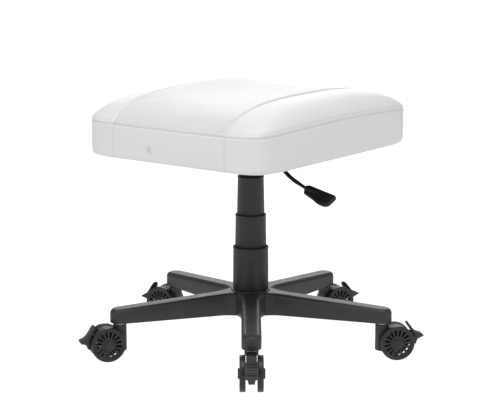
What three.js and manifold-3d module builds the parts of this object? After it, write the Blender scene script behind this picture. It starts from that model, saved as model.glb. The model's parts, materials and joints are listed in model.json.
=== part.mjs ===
// Pedicure stool: a square padded seat on a gas lift with telescoping covers,
// standing on a five-arm star base with braked twin-wheel casters.
// Millimetres, +Z up. The floor is z = 0 and one arm of the base points along -Y.

import * as THREE from 'three';
import { mergeVertices, mergeGeometries } from 'three/addons/utils/BufferGeometryUtils.js';
import Module from 'manifold-3d';

const wasm = await Module();
wasm.setup();

// ---------------------------------------------------------------- driving dimensions

const GAP = 0.3;                 // clearance left between pieces that touch

// Seat cushion
const SEAT_WIDTH = 378;          // across the front face
const SEAT_DEPTH = 455;          // front face to back face
const SEAT_YAW = -37;            // degrees, the seat's turn on the column at rest
const SEAT_SQUARENESS = 10;      // exponent of the rounded-square outline
const SEAT_BOTTOM = 356;         // underside of the cushion above the floor
const BAND_HEIGHT = 59;          // underside to the top seam
const CROWN_HEIGHT = 46;         // top seam to the highest point of the bolsters
const PANEL_DIP = 15;            // how far the middle panel sinks below the bolsters
const PANEL_HALF = 95;           // half width of the middle panel
const FLAT_SPOT = 26;            // radius of the level patch at the cushion's centre
const BOTTOM_ROUND = 6;          // rounding of the cushion's lower edge
const SKIN = 1.4;                // cover material
const LIP = 30;                  // cover folded in under the board
const BOARD = 12;                // plywood thickness
const DUST_COVER = 0.7;
const DUST_COVER_INSET = 20;     // from the cushion's edge
const OUTLINE_POINTS = 36;

// Seat fixings
const PLATE_WIDTH = 150;
const PLATE_DEPTH = 176;
const PLATE = 3;
const PLATE_CORNER = 16;
const BOLT_SPACING_X = 118;
const BOLT_SPACING_Y = 144;
const BOLT_RADIUS = 3;
const BOLT_HOLE = 3.6;
const BOLT_HEAD_RADIUS = 5.8;
const BOLT_HEAD = 4;
const NUT_FLANGE_RADIUS = 9;
const NUT_FLANGE = 1.5;
const NUT_BARREL_RADIUS = 4.4;
const NUT_BARREL = 9;

// Height lever and its bracket, along the seat's own +X
const BRACKET_CLEARANCE = 1;     // bracket's side to the socket
const BRACKET_WALL = 2.5;
const BRACKET_DROP = 32;         // plate down to the underside of the bracket
const BRACKET_BACK = 30;
const BRACKET_FRONT = 36;
const SOCKET_WALL = 4;
const SOCKET_PROUD = 12.4;       // socket below the bracket
const LEVER_RADIUS = 3.5;
const LEVER_DROP = 11.4;         // seat plate down to the lever's centre line
const LEVER_TAIL = 7;            // lever past the column's centre
const LEVER_BEND = 42;           // from the centre to the bend
const LEVER_REACH = 118;         // from the centre to where the paddle starts
const LEVER_FALL = 44.5;         // how far the rod drops between the bend and the paddle
const PIVOT_X = 25;
const PIVOT_RADIUS = 2.5;
const PIVOT_DROP = 8;            // pivot below the lever's centre line
const PADDLE = 7;
const PADDLE_LENGTH = 58;
const PADDLE_STRAIGHT_SIDE = 9.7; // from the rod's line to the straight edge
const PADDLE_WIDE_SIDE = 17;      // and to the bulged edge
const PADDLE_SHOULDERS = [7.5, 10];     // both edges where the rod goes in
const PADDLE_SLOPE = 15;         // degrees down
const PADDLE_ROLL = 45;          // degrees about its own length
const PADDLE_SOCKET = 14;        // how much of the rod's end the paddle holds

// Gas lift
const CYLINDER_RADIUS = 14;
const CYLINDER_WALL = 2;
const CYLINDER_TAPER = 0.8;      // radius lost over the cone in the socket
const ROD_RADIUS = 4;
const PISTON_PLAY = 0.4;
const BUTTON_RADIUS = 3.4;
const BUTTON_PROUD = 6.2;
const BUTTON_LENGTH = 14;
const STROKE = 90;
const BUSH_WALL = 2.6;
const TUBE_WALL = 1.8;
const TUBE_RISE = 93.7;          // stand tube above the hub
const TUBE_SINK = 6.5;           // and below the arms
const TUBE_TAPER = 1.4;
const BUSH_LENGTH = 50;
const BUSH_FLANGE = 3;
const BEARING_TOP = 8;           // thrust bearing's top above the tube's foot
const BUMPER = 7.7;

// Telescoping covers, from the hub up
const COVER_WALL = 1.6;
const COVER_STEP = 3;            // rim height
const LOWER_LENGTH = 75.4;
const LOWER_PLAY = [12, 11.6];   // outside of the cover from the stand tube: foot, top
const MIDDLE_LAG = 5;            // middle cover's top below halfway between the others
const MIDDLE_LENGTH = 67;
const MIDDLE_PLAY = [8.4, 7.4];
const UPPER_LENGTH = 75;
const UPPER_PLAY = [5.2, 3.5];

// Star base
const ARMS = 5;
const STEM_CIRCLE = 237;         // column axis to each caster's stem
const ARM_HALF = 16.5;           // half width, and the radius of the rounded tip
const WHEEL_CLEARANCE = 4.5;     // wheels to the underside of the arms
const ARM_TIP = 25.5;            // height of the arm at its tip
const ARM_ROOT = 40;             // and at the hub
const ARM_EDGE = 8;              // rounding of the upper edges
const ARM_SHELL = 3.5;
const HUB_HEIGHT = 41.8;
const HUB_LEDGE = 3.5;           // hub beyond the lower cover
const HUB_FLARE = 15.5;
const POCKETS = 4;
const RIB = 3;

// Casters
const WHEEL_RADIUS = 30;
const WHEEL_WIDTH = 10;
const WHEEL_INNER = 9.6;         // mid plane to the wheel's inner face
const WHEEL_SIDES = 20;
const TRAIL = 24;                // stem axis out to the axle
const AXLE_RADIUS = 3;
const BOSS_RADIUS = 8.5;
const BOSS = 2.8;
const STEM_RADIUS = 5.5;
const STEM_GRIP = 17;            // stem inside the arm
const STEM_SEAT = 16;            // stem inside the caster
const NECK_RADIUS = 11.6;
const NECK_FOOT = 15;
const HOOD_HALF = 8.6;
const HOOD_INSET = 1.5;          // hood below the tread
const COLLAR = 2.4;
const COLLAR_RADIUS = 10;
const CASTER_TURNS = [0, 28, -22, 22, 0];     // each caster's rest turn from pointing outwards
const PEDALS_UP = [false, true, true, false, false];
const PEDAL_LIFT = 9;            // degrees between a pressed and a released pedal
const PEDAL_HALF = 11;
const PEDAL_NECK = 7.6;
const PEDAL_DRAWN_ON = 30;       // wheel radius that the pedal's points are drawn round
const TRUNNION_RADIUS = 2.2;
const TRUNNION_HALF = 7;

// The column stands off the origin so that the whole stool is centred on it.
const PEDAL_PIVOT = roundWheel([16, 13]);     // from the axle: outwards, upwards
const PEDAL_TIP = roundWheel([47, 5]);
const PEDAL_REACH = STEM_CIRCLE + TRAIL + PEDAL_TIP[0];
const SEAT_REACH = cornerReach(SEAT_YAW);
const COLUMN_Y = (PEDAL_REACH - SEAT_REACH) / 2;

// ---------------------------------------------------------------- derived levels

const SKIN_TOP = SEAT_BOTTOM + SKIN;
const BOARD_BOTTOM = SKIN_TOP + GAP;
const BOARD_TOP = BOARD_BOTTOM + BOARD;
const FOAM_BOTTOM = BOARD_TOP + GAP;
const SEAM_LEVEL = SEAT_BOTTOM + BAND_HEIGHT;
const DUST_TOP = SEAT_BOTTOM - GAP;
const DUST_BOTTOM = DUST_TOP - DUST_COVER;
const PLATE_TOP = DUST_BOTTOM - GAP;
const PLATE_BOTTOM = PLATE_TOP - PLATE;
const BRACKET_TOP = PLATE_BOTTOM - GAP;
const BRACKET_BOTTOM = PLATE_BOTTOM - BRACKET_DROP;
const LEVER_LEVEL = PLATE_BOTTOM - LEVER_DROP;
const PIVOT_LEVEL = LEVER_LEVEL - PIVOT_DROP;
const BUTTON_TOP = LEVER_LEVEL - LEVER_RADIUS - GAP;
const CYLINDER_TOP = BUTTON_TOP - BUTTON_PROUD;
const SOCKET_BOTTOM = BRACKET_BOTTOM - SOCKET_PROUD;
const WHEEL_OUTER = WHEEL_INNER + WHEEL_WIDTH;
const HOOD_RADIUS = WHEEL_RADIUS - HOOD_INSET;
const ARM_FLOOR = 2 * WHEEL_RADIUS + WHEEL_CLEARANCE;
const ARM_TIP_TOP = ARM_FLOOR + ARM_TIP;
const ARM_ROOT_TOP = ARM_FLOOR + ARM_ROOT;
const HUB_TOP = ARM_FLOOR + HUB_HEIGHT;
const NECK_TOP = ARM_FLOOR - COLLAR - 2 * GAP;
const TUBE_FOOT = ARM_FLOOR - TUBE_SINK;
const TUBE_TOP = HUB_TOP + TUBE_RISE;
const CYLINDER_FOOT = TUBE_FOOT + BEARING_TOP + GAP + BUMPER + 1 + STROKE;
const LOWER_TOP = HUB_TOP + GAP + LOWER_LENGTH;
const UPPER_TOP = SOCKET_BOTTOM - GAP;
const MIDDLE_TOP = (LOWER_TOP + UPPER_TOP) / 2 - MIDDLE_LAG;

// ---------------------------------------------------------------- derived radii

const CYLINDER_BORE = CYLINDER_RADIUS - CYLINDER_WALL;
const PISTON_RADIUS = CYLINDER_BORE - PISTON_PLAY;
const SOCKET_RADIUS = CYLINDER_RADIUS + SOCKET_WALL;
const BRACKET_HALF = SOCKET_RADIUS + BRACKET_CLEARANCE;
const TUBE_RADIUS = CYLINDER_RADIUS + GAP + BUSH_WALL + GAP + TUBE_WALL;
const LOWER_RADII = LOWER_PLAY.map((play) => TUBE_RADIUS + play);
const MIDDLE_RADII = MIDDLE_PLAY.map((play) => TUBE_RADIUS + play);
const UPPER_RADII = UPPER_PLAY.map((play) => TUBE_RADIUS + play);
const HUB_RADIUS = LOWER_RADII[0] + HUB_LEDGE;
const HUB_SKIRT = HUB_RADIUS + HUB_FLARE;

// The neck may be wider than the gap between the wheels above this level.
const NECK_CORNER = Math.sqrt(NECK_RADIUS ** 2 - WHEEL_INNER ** 2);
const NECK_SHOULDER = WHEEL_RADIUS
  + Math.sqrt((WHEEL_RADIUS + 0.1) ** 2 - (TRAIL - NECK_CORNER) ** 2);

// A point beside the wheel keeps its distance from the tread when the wheel's size changes.
function roundWheel([x, z]) {
  const growth = 1 + (WHEEL_RADIUS - PEDAL_DRAWN_ON) / Math.hypot(x, z);
  return [x * growth, z * growth];
}

// ---------------------------------------------------------------- materials

const material = (color, roughness, metalness) =>
  new THREE.MeshStandardMaterial({ color, roughness, metalness });
const whiteLeather = () => material(0xeeedeb, 0.5, 0);
const foam = () => material(0xd8cfa8, 0.95, 0);
const plywood = () => material(0xb08a5a, 0.8, 0);
const blackCloth = () => material(0x1c1c1d, 0.95, 0);
const zincSteel = () => material(0xb9bcc0, 0.4, 0.9);
const blackSteel = () => material(0x1b1b1d, 0.45, 0.6);
const chromedSteel = () => material(0xd6d8da, 0.15, 1);
const blackNylon = () => material(0x28282a, 0.6, 0);
const coverPlastic = () => material(0x3a393b, 0.55, 0);
const wheelNylon = () => material(0x232325, 0.35, 0);
const paddlePlastic = () => material(0x151516, 0.5, 0);
const blackRubber = () => material(0x161616, 0.9, 0);
const bushPlastic = () => material(0xe4e2da, 0.5, 0);

// ---------------------------------------------------------------- geometry helpers

const radians = (degrees) => degrees * Math.PI / 180;

function bare(geometry) {
  const copy = geometry.clone();
  copy.deleteAttribute('normal');
  copy.deleteAttribute('uv');
  return mergeVertices(copy, 1e-4);
}

function toSolid(geometry) {
  const merged = bare(geometry);
  const vertProperties = new Float32Array(merged.attributes.position.array);
  const triVerts = new Uint32Array(merged.index.array);
  return new wasm.Manifold(new wasm.Mesh({ numProp: 3, vertProperties, triVerts }));
}

function toGeometry(solid) {
  const mesh = solid.getMesh();
  const geometry = new THREE.BufferGeometry();
  geometry.setAttribute('position', new THREE.BufferAttribute(new Float32Array(mesh.vertProperties), 3));
  geometry.setIndex(new THREE.BufferAttribute(new Uint32Array(mesh.triVerts), 1));
  geometry.computeVertexNormals();
  return geometry;
}

function cut(body, ...tools) {
  return toGeometry(tools.reduce((solid, tool) => solid.subtract(toSolid(tool)), toSolid(body)));
}

function join(body, ...others) {
  return toGeometry(others.reduce((solid, other) => solid.add(toSolid(other)), toSolid(body)));
}

function common(body, other) {
  return toGeometry(toSolid(body).intersect(toSolid(other)));
}

// A turned solid about +Z. The profile is [radius, height] pairs with the material on its left.
function turned(profile, sides = 24) {
  const points = profile.map(([radius, height]) => new THREE.Vector2(radius, height));
  return bare(new THREE.LatheGeometry(points, sides).rotateX(Math.PI / 2));
}

function rod(radius, bottom, top, sides = 12) {
  return turned([[0, bottom], [radius, bottom], [radius, top], [0, top]], sides);
}

function ring(inner, outer, bottom, top, sides = 20) {
  return turned([[inner, bottom], [outer, bottom], [outer, top], [inner, top], [inner, bottom]], sides);
}

function box(low, high) {
  const size = high.map((value, axis) => value - low[axis]);
  const middle = high.map((value, axis) => (value + low[axis]) / 2);
  return new THREE.BoxGeometry(...size).translate(...middle);
}

// A flat outline in X and Y, raised from bottom to top.
function raised(outline, bottom, top, holes = []) {
  const shape = new THREE.Shape(outline);
  shape.holes = holes.map((hole) => new THREE.Path(hole));
  const geometry = new THREE.ExtrudeGeometry(shape, { depth: top - bottom, bevelEnabled: false });
  return geometry.translate(0, 0, bottom);
}

// A side outline of [x, z] pairs, widened to half on both sides of the XZ plane.
function widened(outline, half) {
  const points = outline.map(([x, z]) => new THREE.Vector2(x, z));
  return raised(points, -half, half).rotateX(Math.PI / 2);
}

function circle(radius, centre = [0, 0], count = 12) {
  return Array.from({ length: count }, (_, index) => {
    const angle = 2 * Math.PI * index / count;
    return new THREE.Vector2(centre[0] + radius * Math.cos(angle), centre[1] + radius * Math.sin(angle));
  });
}

// A closed body through rings of equal length, with a flat fan on the first and the last.
function lofted(rings) {
  const count = rings[0].length;
  const centre = (points) => points
    .reduce((sum, point) => sum.add(point), new THREE.Vector3())
    .divideScalar(points.length);
  const corners = [...rings.flat(), centre(rings[0]), centre(rings.at(-1))];
  const first = rings.length * count;
  const faces = [];
  for (let index = 0; index < count; index += 1) {
    const next = (index + 1) % count;
    faces.push(first, next, index);
    for (let level = 0; level < rings.length - 1; level += 1) {
      const low = level * count;
      const high = low + count;
      faces.push(low + index, low + next, high + next, low + index, high + next, high + index);
    }
    const top = first - count;
    faces.push(first + 1, top + index, top + next);
  }
  const geometry = new THREE.BufferGeometry().setFromPoints(corners);
  geometry.setIndex(faces);
  geometry.computeVertexNormals();
  return geometry;
}

function piece(name, geometry, finish) {
  const mesh = new THREE.Mesh(geometry, finish);
  mesh.name = name;
  return mesh;
}

// ---------------------------------------------------------------- seat

// The rounded-square outline, drawn in from the cushion's edge by an inset.
function seatPoint(angle, inset) {
  const spread = (value) => Math.sign(value) * Math.abs(value) ** (2 / SEAT_SQUARENESS);
  const x = spread(Math.cos(angle)) * (SEAT_WIDTH / 2 - inset);
  const y = spread(Math.sin(angle)) * (SEAT_DEPTH / 2 - inset);
  return [x, y];
}

function seatAngles() {
  const half = 0.5;
  return Array.from({ length: OUTLINE_POINTS }, (_, index) => 2 * Math.PI * (index + half) / OUTLINE_POINTS);
}

function cornerReach(yaw) {
  const turn = yaw * Math.PI / 180;
  const reaches = Array.from({ length: 360 }, (_, index) => {
    const [x, y] = seatPoint(2 * Math.PI * index / 360, 0);
    return x * Math.sin(turn) + y * Math.cos(turn);
  });
  return Math.max(...reaches);
}

function seatOutline(inset) {
  return seatAngles().map((angle) => new THREE.Vector2(...seatPoint(angle, inset)));
}

// Height of the cushion's top over a point a share of the way out to the edge.
function crown(x, y, share) {
  const plump = (1 - Math.abs(x * 2 / SEAT_WIDTH) ** 6) ** 0.4;
  const fall = 1 - Math.abs(y * 2 / SEAT_DEPTH) ** 3;
  const rise = CROWN_HEIGHT * plump * fall ** 0.55 * (1 - share ** 20) ** 0.35;
  const sink = PANEL_DIP * Math.exp(-((x / PANEL_HALF) ** 4)) * fall;
  return rise - sink;
}

function seatRing(inset, level) {
  return seatAngles().map((angle) => new THREE.Vector3(...seatPoint(angle, inset), level));
}

// The domed top, a surface that lies `inset` inside the cover's outer face.
function topRing(share, inset) {
  const levelPatch = share * SEAT_WIDTH / 2 <= FLAT_SPOT;
  return seatAngles().map((angle) => {
    const [x, y] = seatPoint(angle, inset);
    const height = levelPatch ? crown(0, 0, 0) : crown(x * share, y * share, share);
    return new THREE.Vector3(x * share, y * share, SEAM_LEVEL + height - inset);
  });
}

const TOP_SHARES = [0.985, 0.95, 0.88, 0.76, 0.55, FLAT_SPOT * 2 / SEAT_WIDTH];

// Everything inside a face that lies `inset` within the cushion's outer face.
function cushionBody(inset, foot, round) {
  return lofted([
    seatRing(inset + round, foot),
    seatRing(inset, foot + round),
    seatRing(inset, SEAM_LEVEL - inset),
    ...TOP_SHARES.map((share) => topRing(share, inset)),
  ]);
}

function seatCover() {
  const outside = cushionBody(0, SEAT_BOTTOM, BOTTOM_ROUND);
  const inside = cushionBody(SKIN, SKIN_TOP, BOTTOM_ROUND - SKIN);
  const opening = lofted([seatRing(LIP, SEAT_BOTTOM - 1), seatRing(LIP, SKIN_TOP + 1)]);
  return cut(outside, inside, opening);
}

function seatFoam() {
  const block = cushionBody(SKIN + GAP, FOAM_BOTTOM, 0.5);
  const pocket = rod(NUT_FLANGE_RADIUS + GAP, FOAM_BOTTOM - 1, FOAM_BOTTOM + NUT_FLANGE + GAP, 16);
  return cut(block, ...boltPlaces().map(([x, y]) => pocket.clone().translate(x, y, 0)));
}

function boltPlaces() {
  const signs = [[1, 1], [-1, 1], [-1, -1], [1, -1]];
  return signs.map(([x, y]) => [x * BOLT_SPACING_X / 2, y * BOLT_SPACING_Y / 2]);
}

function boltHoles(radius) {
  return boltPlaces().map((place) => circle(radius, place));
}

function seatBoard() {
  const holes = boltHoles(NUT_BARREL_RADIUS + GAP);
  return raised(seatOutline(BOTTOM_ROUND + SKIN + GAP), BOARD_BOTTOM, BOARD_TOP, holes);
}

function dustCover() {
  return raised(seatOutline(DUST_COVER_INSET), DUST_BOTTOM, DUST_TOP, boltHoles(BOLT_HOLE));
}

function tNut() {
  const top = FOAM_BOTTOM + NUT_FLANGE;
  const foot = FOAM_BOTTOM - NUT_BARREL;
  const bore = BOLT_RADIUS + GAP;
  const profile = [
    [bore, foot],
    [NUT_BARREL_RADIUS, foot],
    [NUT_BARREL_RADIUS, FOAM_BOTTOM],
    [NUT_FLANGE_RADIUS, FOAM_BOTTOM],
    [NUT_FLANGE_RADIUS, top],
    [bore, top],
    [bore, foot],
  ];
  return turned(profile, 12);
}

function seatBolt() {
  const head = rod(BOLT_HEAD_RADIUS, PLATE_BOTTOM - GAP - BOLT_HEAD, PLATE_BOTTOM - GAP, 6);
  const shank = rod(BOLT_RADIUS, PLATE_BOTTOM - GAP - 1, FOAM_BOTTOM + NUT_FLANGE - GAP, 12);
  return join(head, shank);
}

function roundedRectangle(width, depth, corner, steps = 4) {
  const signs = [[1, 1], [-1, 1], [-1, -1], [1, -1]];
  return signs.flatMap(([sx, sy], quarter) => Array.from({ length: steps + 1 }, (_, index) => {
    const angle = (quarter + index / steps) * Math.PI / 2;
    return new THREE.Vector2(
      sx * (width / 2 - corner) + corner * Math.cos(angle),
      sy * (depth / 2 - corner) + corner * Math.sin(angle),
    );
  }));
}

function seatPlate() {
  const outline = roundedRectangle(PLATE_WIDTH, PLATE_DEPTH, PLATE_CORNER);
  return raised(outline, PLATE_BOTTOM, PLATE_TOP, boltHoles(BOLT_HOLE));
}

// ---------------------------------------------------------------- lever and bracket

function leverBracket() {
  const half = BRACKET_HALF + BRACKET_WALL;
  const outside = box([-BRACKET_BACK, -half, BRACKET_BOTTOM], [BRACKET_FRONT, half, BRACKET_TOP]);
  const channel = box(
    [-BRACKET_BACK - 1, -BRACKET_HALF, BRACKET_BOTTOM + BRACKET_WALL],
    [BRACKET_FRONT + 1, BRACKET_HALF, BRACKET_TOP + 1],
  );
  const socketHole = rod(SOCKET_RADIUS + GAP, BRACKET_BOTTOM - 1, BRACKET_BOTTOM + BRACKET_WALL + 1, 32);
  const pinHole = rod(PIVOT_RADIUS + GAP, -half - 1, half + 1, 12)
    .rotateX(Math.PI / 2)
    .translate(PIVOT_X, 0, PIVOT_LEVEL);
  return cut(outside, channel, socketHole, pinHole);
}

function socketTube() {
  const foot = CYLINDER_RADIUS + GAP;
  const mouth = foot - CYLINDER_TAPER;
  const profile = [
    [foot, SOCKET_BOTTOM],
    [SOCKET_RADIUS, SOCKET_BOTTOM],
    [SOCKET_RADIUS, CYLINDER_TOP],
    [mouth, CYLINDER_TOP],
    [foot, SOCKET_BOTTOM],
  ];
  return turned(profile);
}

function pivotPin() {
  const half = BRACKET_HALF + BRACKET_WALL + GAP;
  const head = PIVOT_RADIUS + 1.8;
  const profile = [
    [0, -half - 1.5],
    [head, -half - 1.5],
    [head, -half],
    [PIVOT_RADIUS, -half],
    [PIVOT_RADIUS, half],
    [head, half],
    [head, half + 1.5],
    [0, half + 1.5],
  ];
  return turned(profile, 16).rotateX(Math.PI / 2).translate(PIVOT_X, 0, PIVOT_LEVEL);
}

// The lever's centre line: level over the button, then bent down to the paddle.
function leverPath(start, reach) {
  const fall = LEVER_FALL / (LEVER_REACH - LEVER_BEND);
  const round = 10;
  const path = new THREE.CurvePath();
  const bend = new THREE.Vector3(LEVER_BEND, 0, LEVER_LEVEL);
  const before = new THREE.Vector3(LEVER_BEND - round, 0, LEVER_LEVEL);
  const after = new THREE.Vector3(LEVER_BEND + round, 0, LEVER_LEVEL - round * fall);
  const end = new THREE.Vector3(reach, 0, LEVER_LEVEL - (reach - LEVER_BEND) * fall);
  path.add(new THREE.LineCurve3(new THREE.Vector3(start, 0, LEVER_LEVEL), before));
  path.add(new THREE.QuadraticBezierCurve3(before, bend, after));
  path.add(new THREE.LineCurve3(after, end));
  return path;
}

function leverBar(radius, start, reach) {
  const section = new THREE.Shape(circle(radius, [0, 0], 8));
  const options = { steps: 14, extrudePath: leverPath(start, reach), bevelEnabled: false };
  return new THREE.ExtrudeGeometry(section, options);
}

function leverRod() {
  const length = BRACKET_HALF - 4;
  const outer = PIVOT_RADIUS + 2;
  const barrel = ring(PIVOT_RADIUS + GAP, outer, -length, length, 16)
    .rotateX(Math.PI / 2)
    .translate(PIVOT_X, 0, PIVOT_LEVEL);
  const web = box(
    [PIVOT_X - outer * 0.8, -1.5, PIVOT_LEVEL + PIVOT_RADIUS + 1],
    [PIVOT_X + outer * 0.8, 1.5, LEVER_LEVEL],
  );
  const bar = leverBar(LEVER_RADIUS, -LEVER_TAIL, LEVER_REACH + PADDLE_SOCKET - GAP);
  return join(bar, barrel, web);
}

// The paddle's outline from the rod outwards: one straight edge, and one that bulges.
function paddleOutline() {
  const length = PADDLE_LENGTH;
  const straight = PADDLE_STRAIGHT_SIDE;
  const wide = PADDLE_WIDE_SIDE;
  const shape = new THREE.Shape();
  const [above, below] = PADDLE_SHOULDERS;
  shape.moveTo(0, -below);
  shape.lineTo(0, above);
  shape.lineTo(length - 6, straight);
  shape.quadraticCurveTo(length, straight, length, straight - 6);
  shape.quadraticCurveTo(length - 1, -5, length - 3, -wide * 0.62);
  shape.quadraticCurveTo(length - 6, -wide, length - 18, -wide);
  shape.quadraticCurveTo(length - 28, -wide, length * 0.42, -wide * 0.84);
  shape.closePath();
  return shape;
}

// Carries paddle shapes drawn flat at the origin onto the end of the lever.
function ontoLever(solid) {
  return solid
    .rotateX(radians(PADDLE_ROLL))
    .rotateY(radians(PADDLE_SLOPE))
    .translate(LEVER_REACH, 0, LEVER_LEVEL - LEVER_FALL);
}

function leverPaddle() {
  const rim = 1.5;
  const bevel = { bevelSize: rim, bevelThickness: rim, bevelSegments: 1, curveSegments: 6 };
  const blade = new THREE.ExtrudeGeometry(paddleOutline(), { depth: PADDLE - 2 * rim, ...bevel })
    .translate(0, 0, rim - PADDLE / 2);
  const grip = rod(LEVER_RADIUS + 2.2, -2, PADDLE_SOCKET, 12).rotateY(Math.PI / 2);
  const recess = new THREE.ExtrudeGeometry(new THREE.Shape(roundedRectangle(30, 13, 6)), {
    depth: 3,
    bevelEnabled: false,
  }).translate(PADDLE_LENGTH - 26, -4, PADDLE / 2 - 1.6);
  const rodHole = leverBar(LEVER_RADIUS + GAP, -LEVER_TAIL, LEVER_REACH + PADDLE_SOCKET);
  return cut(ontoLever(join(blade, grip)), rodHole, ontoLever(recess));
}

// ---------------------------------------------------------------- gas lift

function gasCylinder() {
  const tip = CYLINDER_RADIUS - CYLINDER_TAPER;
  const wall = turned([
    [0, CYLINDER_FOOT],
    [CYLINDER_RADIUS, CYLINDER_FOOT],
    [CYLINDER_RADIUS, SOCKET_BOTTOM],
    [tip, CYLINDER_TOP],
    [0, CYLINDER_TOP],
  ]);
  const chamberTop = CYLINDER_TOP - BUTTON_LENGTH - 8;
  const chamber = rod(CYLINDER_BORE, CYLINDER_FOOT + 10, chamberTop, 24);
  const rodHole = rod(ROD_RADIUS + GAP, CYLINDER_FOOT - 1, CYLINDER_FOOT + 11, 16);
  const buttonHole = rod(BUTTON_RADIUS + GAP, CYLINDER_TOP - BUTTON_LENGTH, CYLINDER_TOP + 1, 16);
  return cut(wall, chamber, rodHole, buttonHole);
}

function releaseButton() {
  const foot = BUTTON_TOP - BUTTON_LENGTH;
  return turned([
    [0, foot],
    [BUTTON_RADIUS, foot],
    [BUTTON_RADIUS, BUTTON_TOP - 2.4],
    [BUTTON_RADIUS * 0.6, BUTTON_TOP],
    [0, BUTTON_TOP],
  ], 16);
}

function pistonRod() {
  const foot = TUBE_FOOT - 6;
  const piston = CYLINDER_FOOT + 12;
  const profile = [
    [0, foot],
    [ROD_RADIUS, foot],
    [ROD_RADIUS, foot + 2.2],
    [ROD_RADIUS - 1, foot + 2.2],
    [ROD_RADIUS - 1, foot + 4.2],
    [ROD_RADIUS, foot + 4.2],
    [ROD_RADIUS, piston],
    [PISTON_RADIUS, piston],
    [PISTON_RADIUS, piston + 8],
    [0, piston + 8],
  ];
  return turned(profile, 24);
}

function retainingClip() {
  const foot = TUBE_FOOT - 6 + 2.2;
  return ring(ROD_RADIUS - 1 + GAP, ROD_RADIUS + 4, foot + GAP, foot + 1.7, 16);
}

function standTube() {
  const low = TUBE_RADIUS - TUBE_TAPER;
  const bore = low - TUBE_WALL;
  const profile = [
    [ROD_RADIUS + GAP, TUBE_FOOT],
    [low, TUBE_FOOT],
    [low, ARM_FLOOR],
    [TUBE_RADIUS, HUB_TOP],
    [TUBE_RADIUS, TUBE_TOP],
    [TUBE_RADIUS - TUBE_WALL, TUBE_TOP],
    [TUBE_RADIUS - TUBE_WALL, HUB_TOP],
    [bore, ARM_FLOOR],
    [bore, TUBE_FOOT + 3],
    [ROD_RADIUS + GAP, TUBE_FOOT + 3],
    [ROD_RADIUS + GAP, TUBE_FOOT],
  ];
  return turned(profile);
}

function guideBush() {
  const outer = TUBE_RADIUS - TUBE_WALL - GAP;
  const bore = CYLINDER_RADIUS + GAP;
  const shoulder = TUBE_TOP + GAP;
  const profile = [
    [bore, TUBE_TOP - BUSH_LENGTH],
    [outer, TUBE_TOP - BUSH_LENGTH],
    [outer, shoulder],
    [TUBE_RADIUS - GAP, shoulder],
    [TUBE_RADIUS - GAP, TUBE_TOP + BUSH_FLANGE],
    [bore, TUBE_TOP + BUSH_FLANGE],
    [bore, TUBE_TOP - BUSH_LENGTH],
  ];
  return turned(profile);
}

function thrustBearing() {
  return ring(ROD_RADIUS + GAP, 13, TUBE_FOOT + 3 + GAP, TUBE_FOOT + BEARING_TOP, 24);
}

function rubberBumper() {
  const foot = TUBE_FOOT + BEARING_TOP + GAP;
  return ring(ROD_RADIUS + GAP, 11, foot, foot + BUMPER, 24);
}

// A tapered sleeve with a raised rim round its top, open at both ends or nearly closed above.
function coverSleeve(bottom, top, [low, high], throat) {
  const rim = 0.5;
  const wall = COVER_WALL;
  const profile = [
    [low - wall, bottom],
    [low, bottom],
    [high, top - COVER_STEP],
    [high + rim, top - COVER_STEP],
    [high + rim, top],
    [throat, top],
    ...(throat < high - wall ? [[throat, top - 2]] : []),
    [high - wall, throat < high - wall ? top - 2 : top - COVER_STEP],
    [low - wall, bottom],
  ];
  return turned(profile, 24);
}

const lowerCover = () =>
  coverSleeve(HUB_TOP + GAP, LOWER_TOP, LOWER_RADII, LOWER_RADII[1] - COVER_WALL);
const middleCover = () =>
  coverSleeve(MIDDLE_TOP - MIDDLE_LENGTH, MIDDLE_TOP, MIDDLE_RADII, MIDDLE_RADII[1] - COVER_WALL);
const upperCover = () =>
  coverSleeve(UPPER_TOP - UPPER_LENGTH, UPPER_TOP, UPPER_RADII, CYLINDER_RADIUS + GAP);

// ---------------------------------------------------------------- star base

function armTop(reach) {
  const share = (reach - HUB_RADIUS) / (STEM_CIRCLE - HUB_RADIUS);
  return ARM_ROOT_TOP + (ARM_TIP_TOP - ARM_ROOT_TOP) * share;
}

// One outline of the arm seen from above, along +X with a rounded tip.
function armOutline(inset) {
  const half = ARM_HALF - inset;
  const steps = 6;
  const tip = Array.from({ length: steps + 1 }, (_, index) => {
    const angle = -Math.PI / 2 + Math.PI * index / steps;
    return [STEM_CIRCLE + half * Math.cos(angle), half * Math.sin(angle)];
  });
  return [[0, -half], ...tip, [0, half]];
}

function armRing(inset, drop, level) {
  return armOutline(inset).map(([x, y]) =>
    new THREE.Vector3(x, y, level === undefined ? armTop(x) - drop : level));
}

function armBody() {
  const bend = [0, 45, 90].map((angle) => radians(angle));
  const upper = bend.map((angle) =>
    armRing(ARM_EDGE * (1 - Math.cos(angle)), ARM_EDGE * (1 - Math.sin(angle))));
  return lofted([armRing(2, 0, ARM_FLOOR), armRing(0, 0, ARM_FLOOR + 2), ...upper]);
}

// The hollows between the ribs under one arm.
function armPockets() {
  const start = HUB_RADIUS + 4;
  const end = STEM_CIRCLE - ARM_HALF;
  const pitch = (end - start) / POCKETS;
  const half = ARM_HALF - ARM_SHELL;
  return Array.from({ length: POCKETS }, (_, index) => {
    const low = start + index * pitch + RIB / 2;
    const high = start + (index + 1) * pitch - RIB / 2;
    const roof = armTop(high) - ARM_SHELL - ARM_EDGE * 0.4;
    return box([low, -half, ARM_FLOOR - 1], [high, half, roof]);
  });
}

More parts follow.
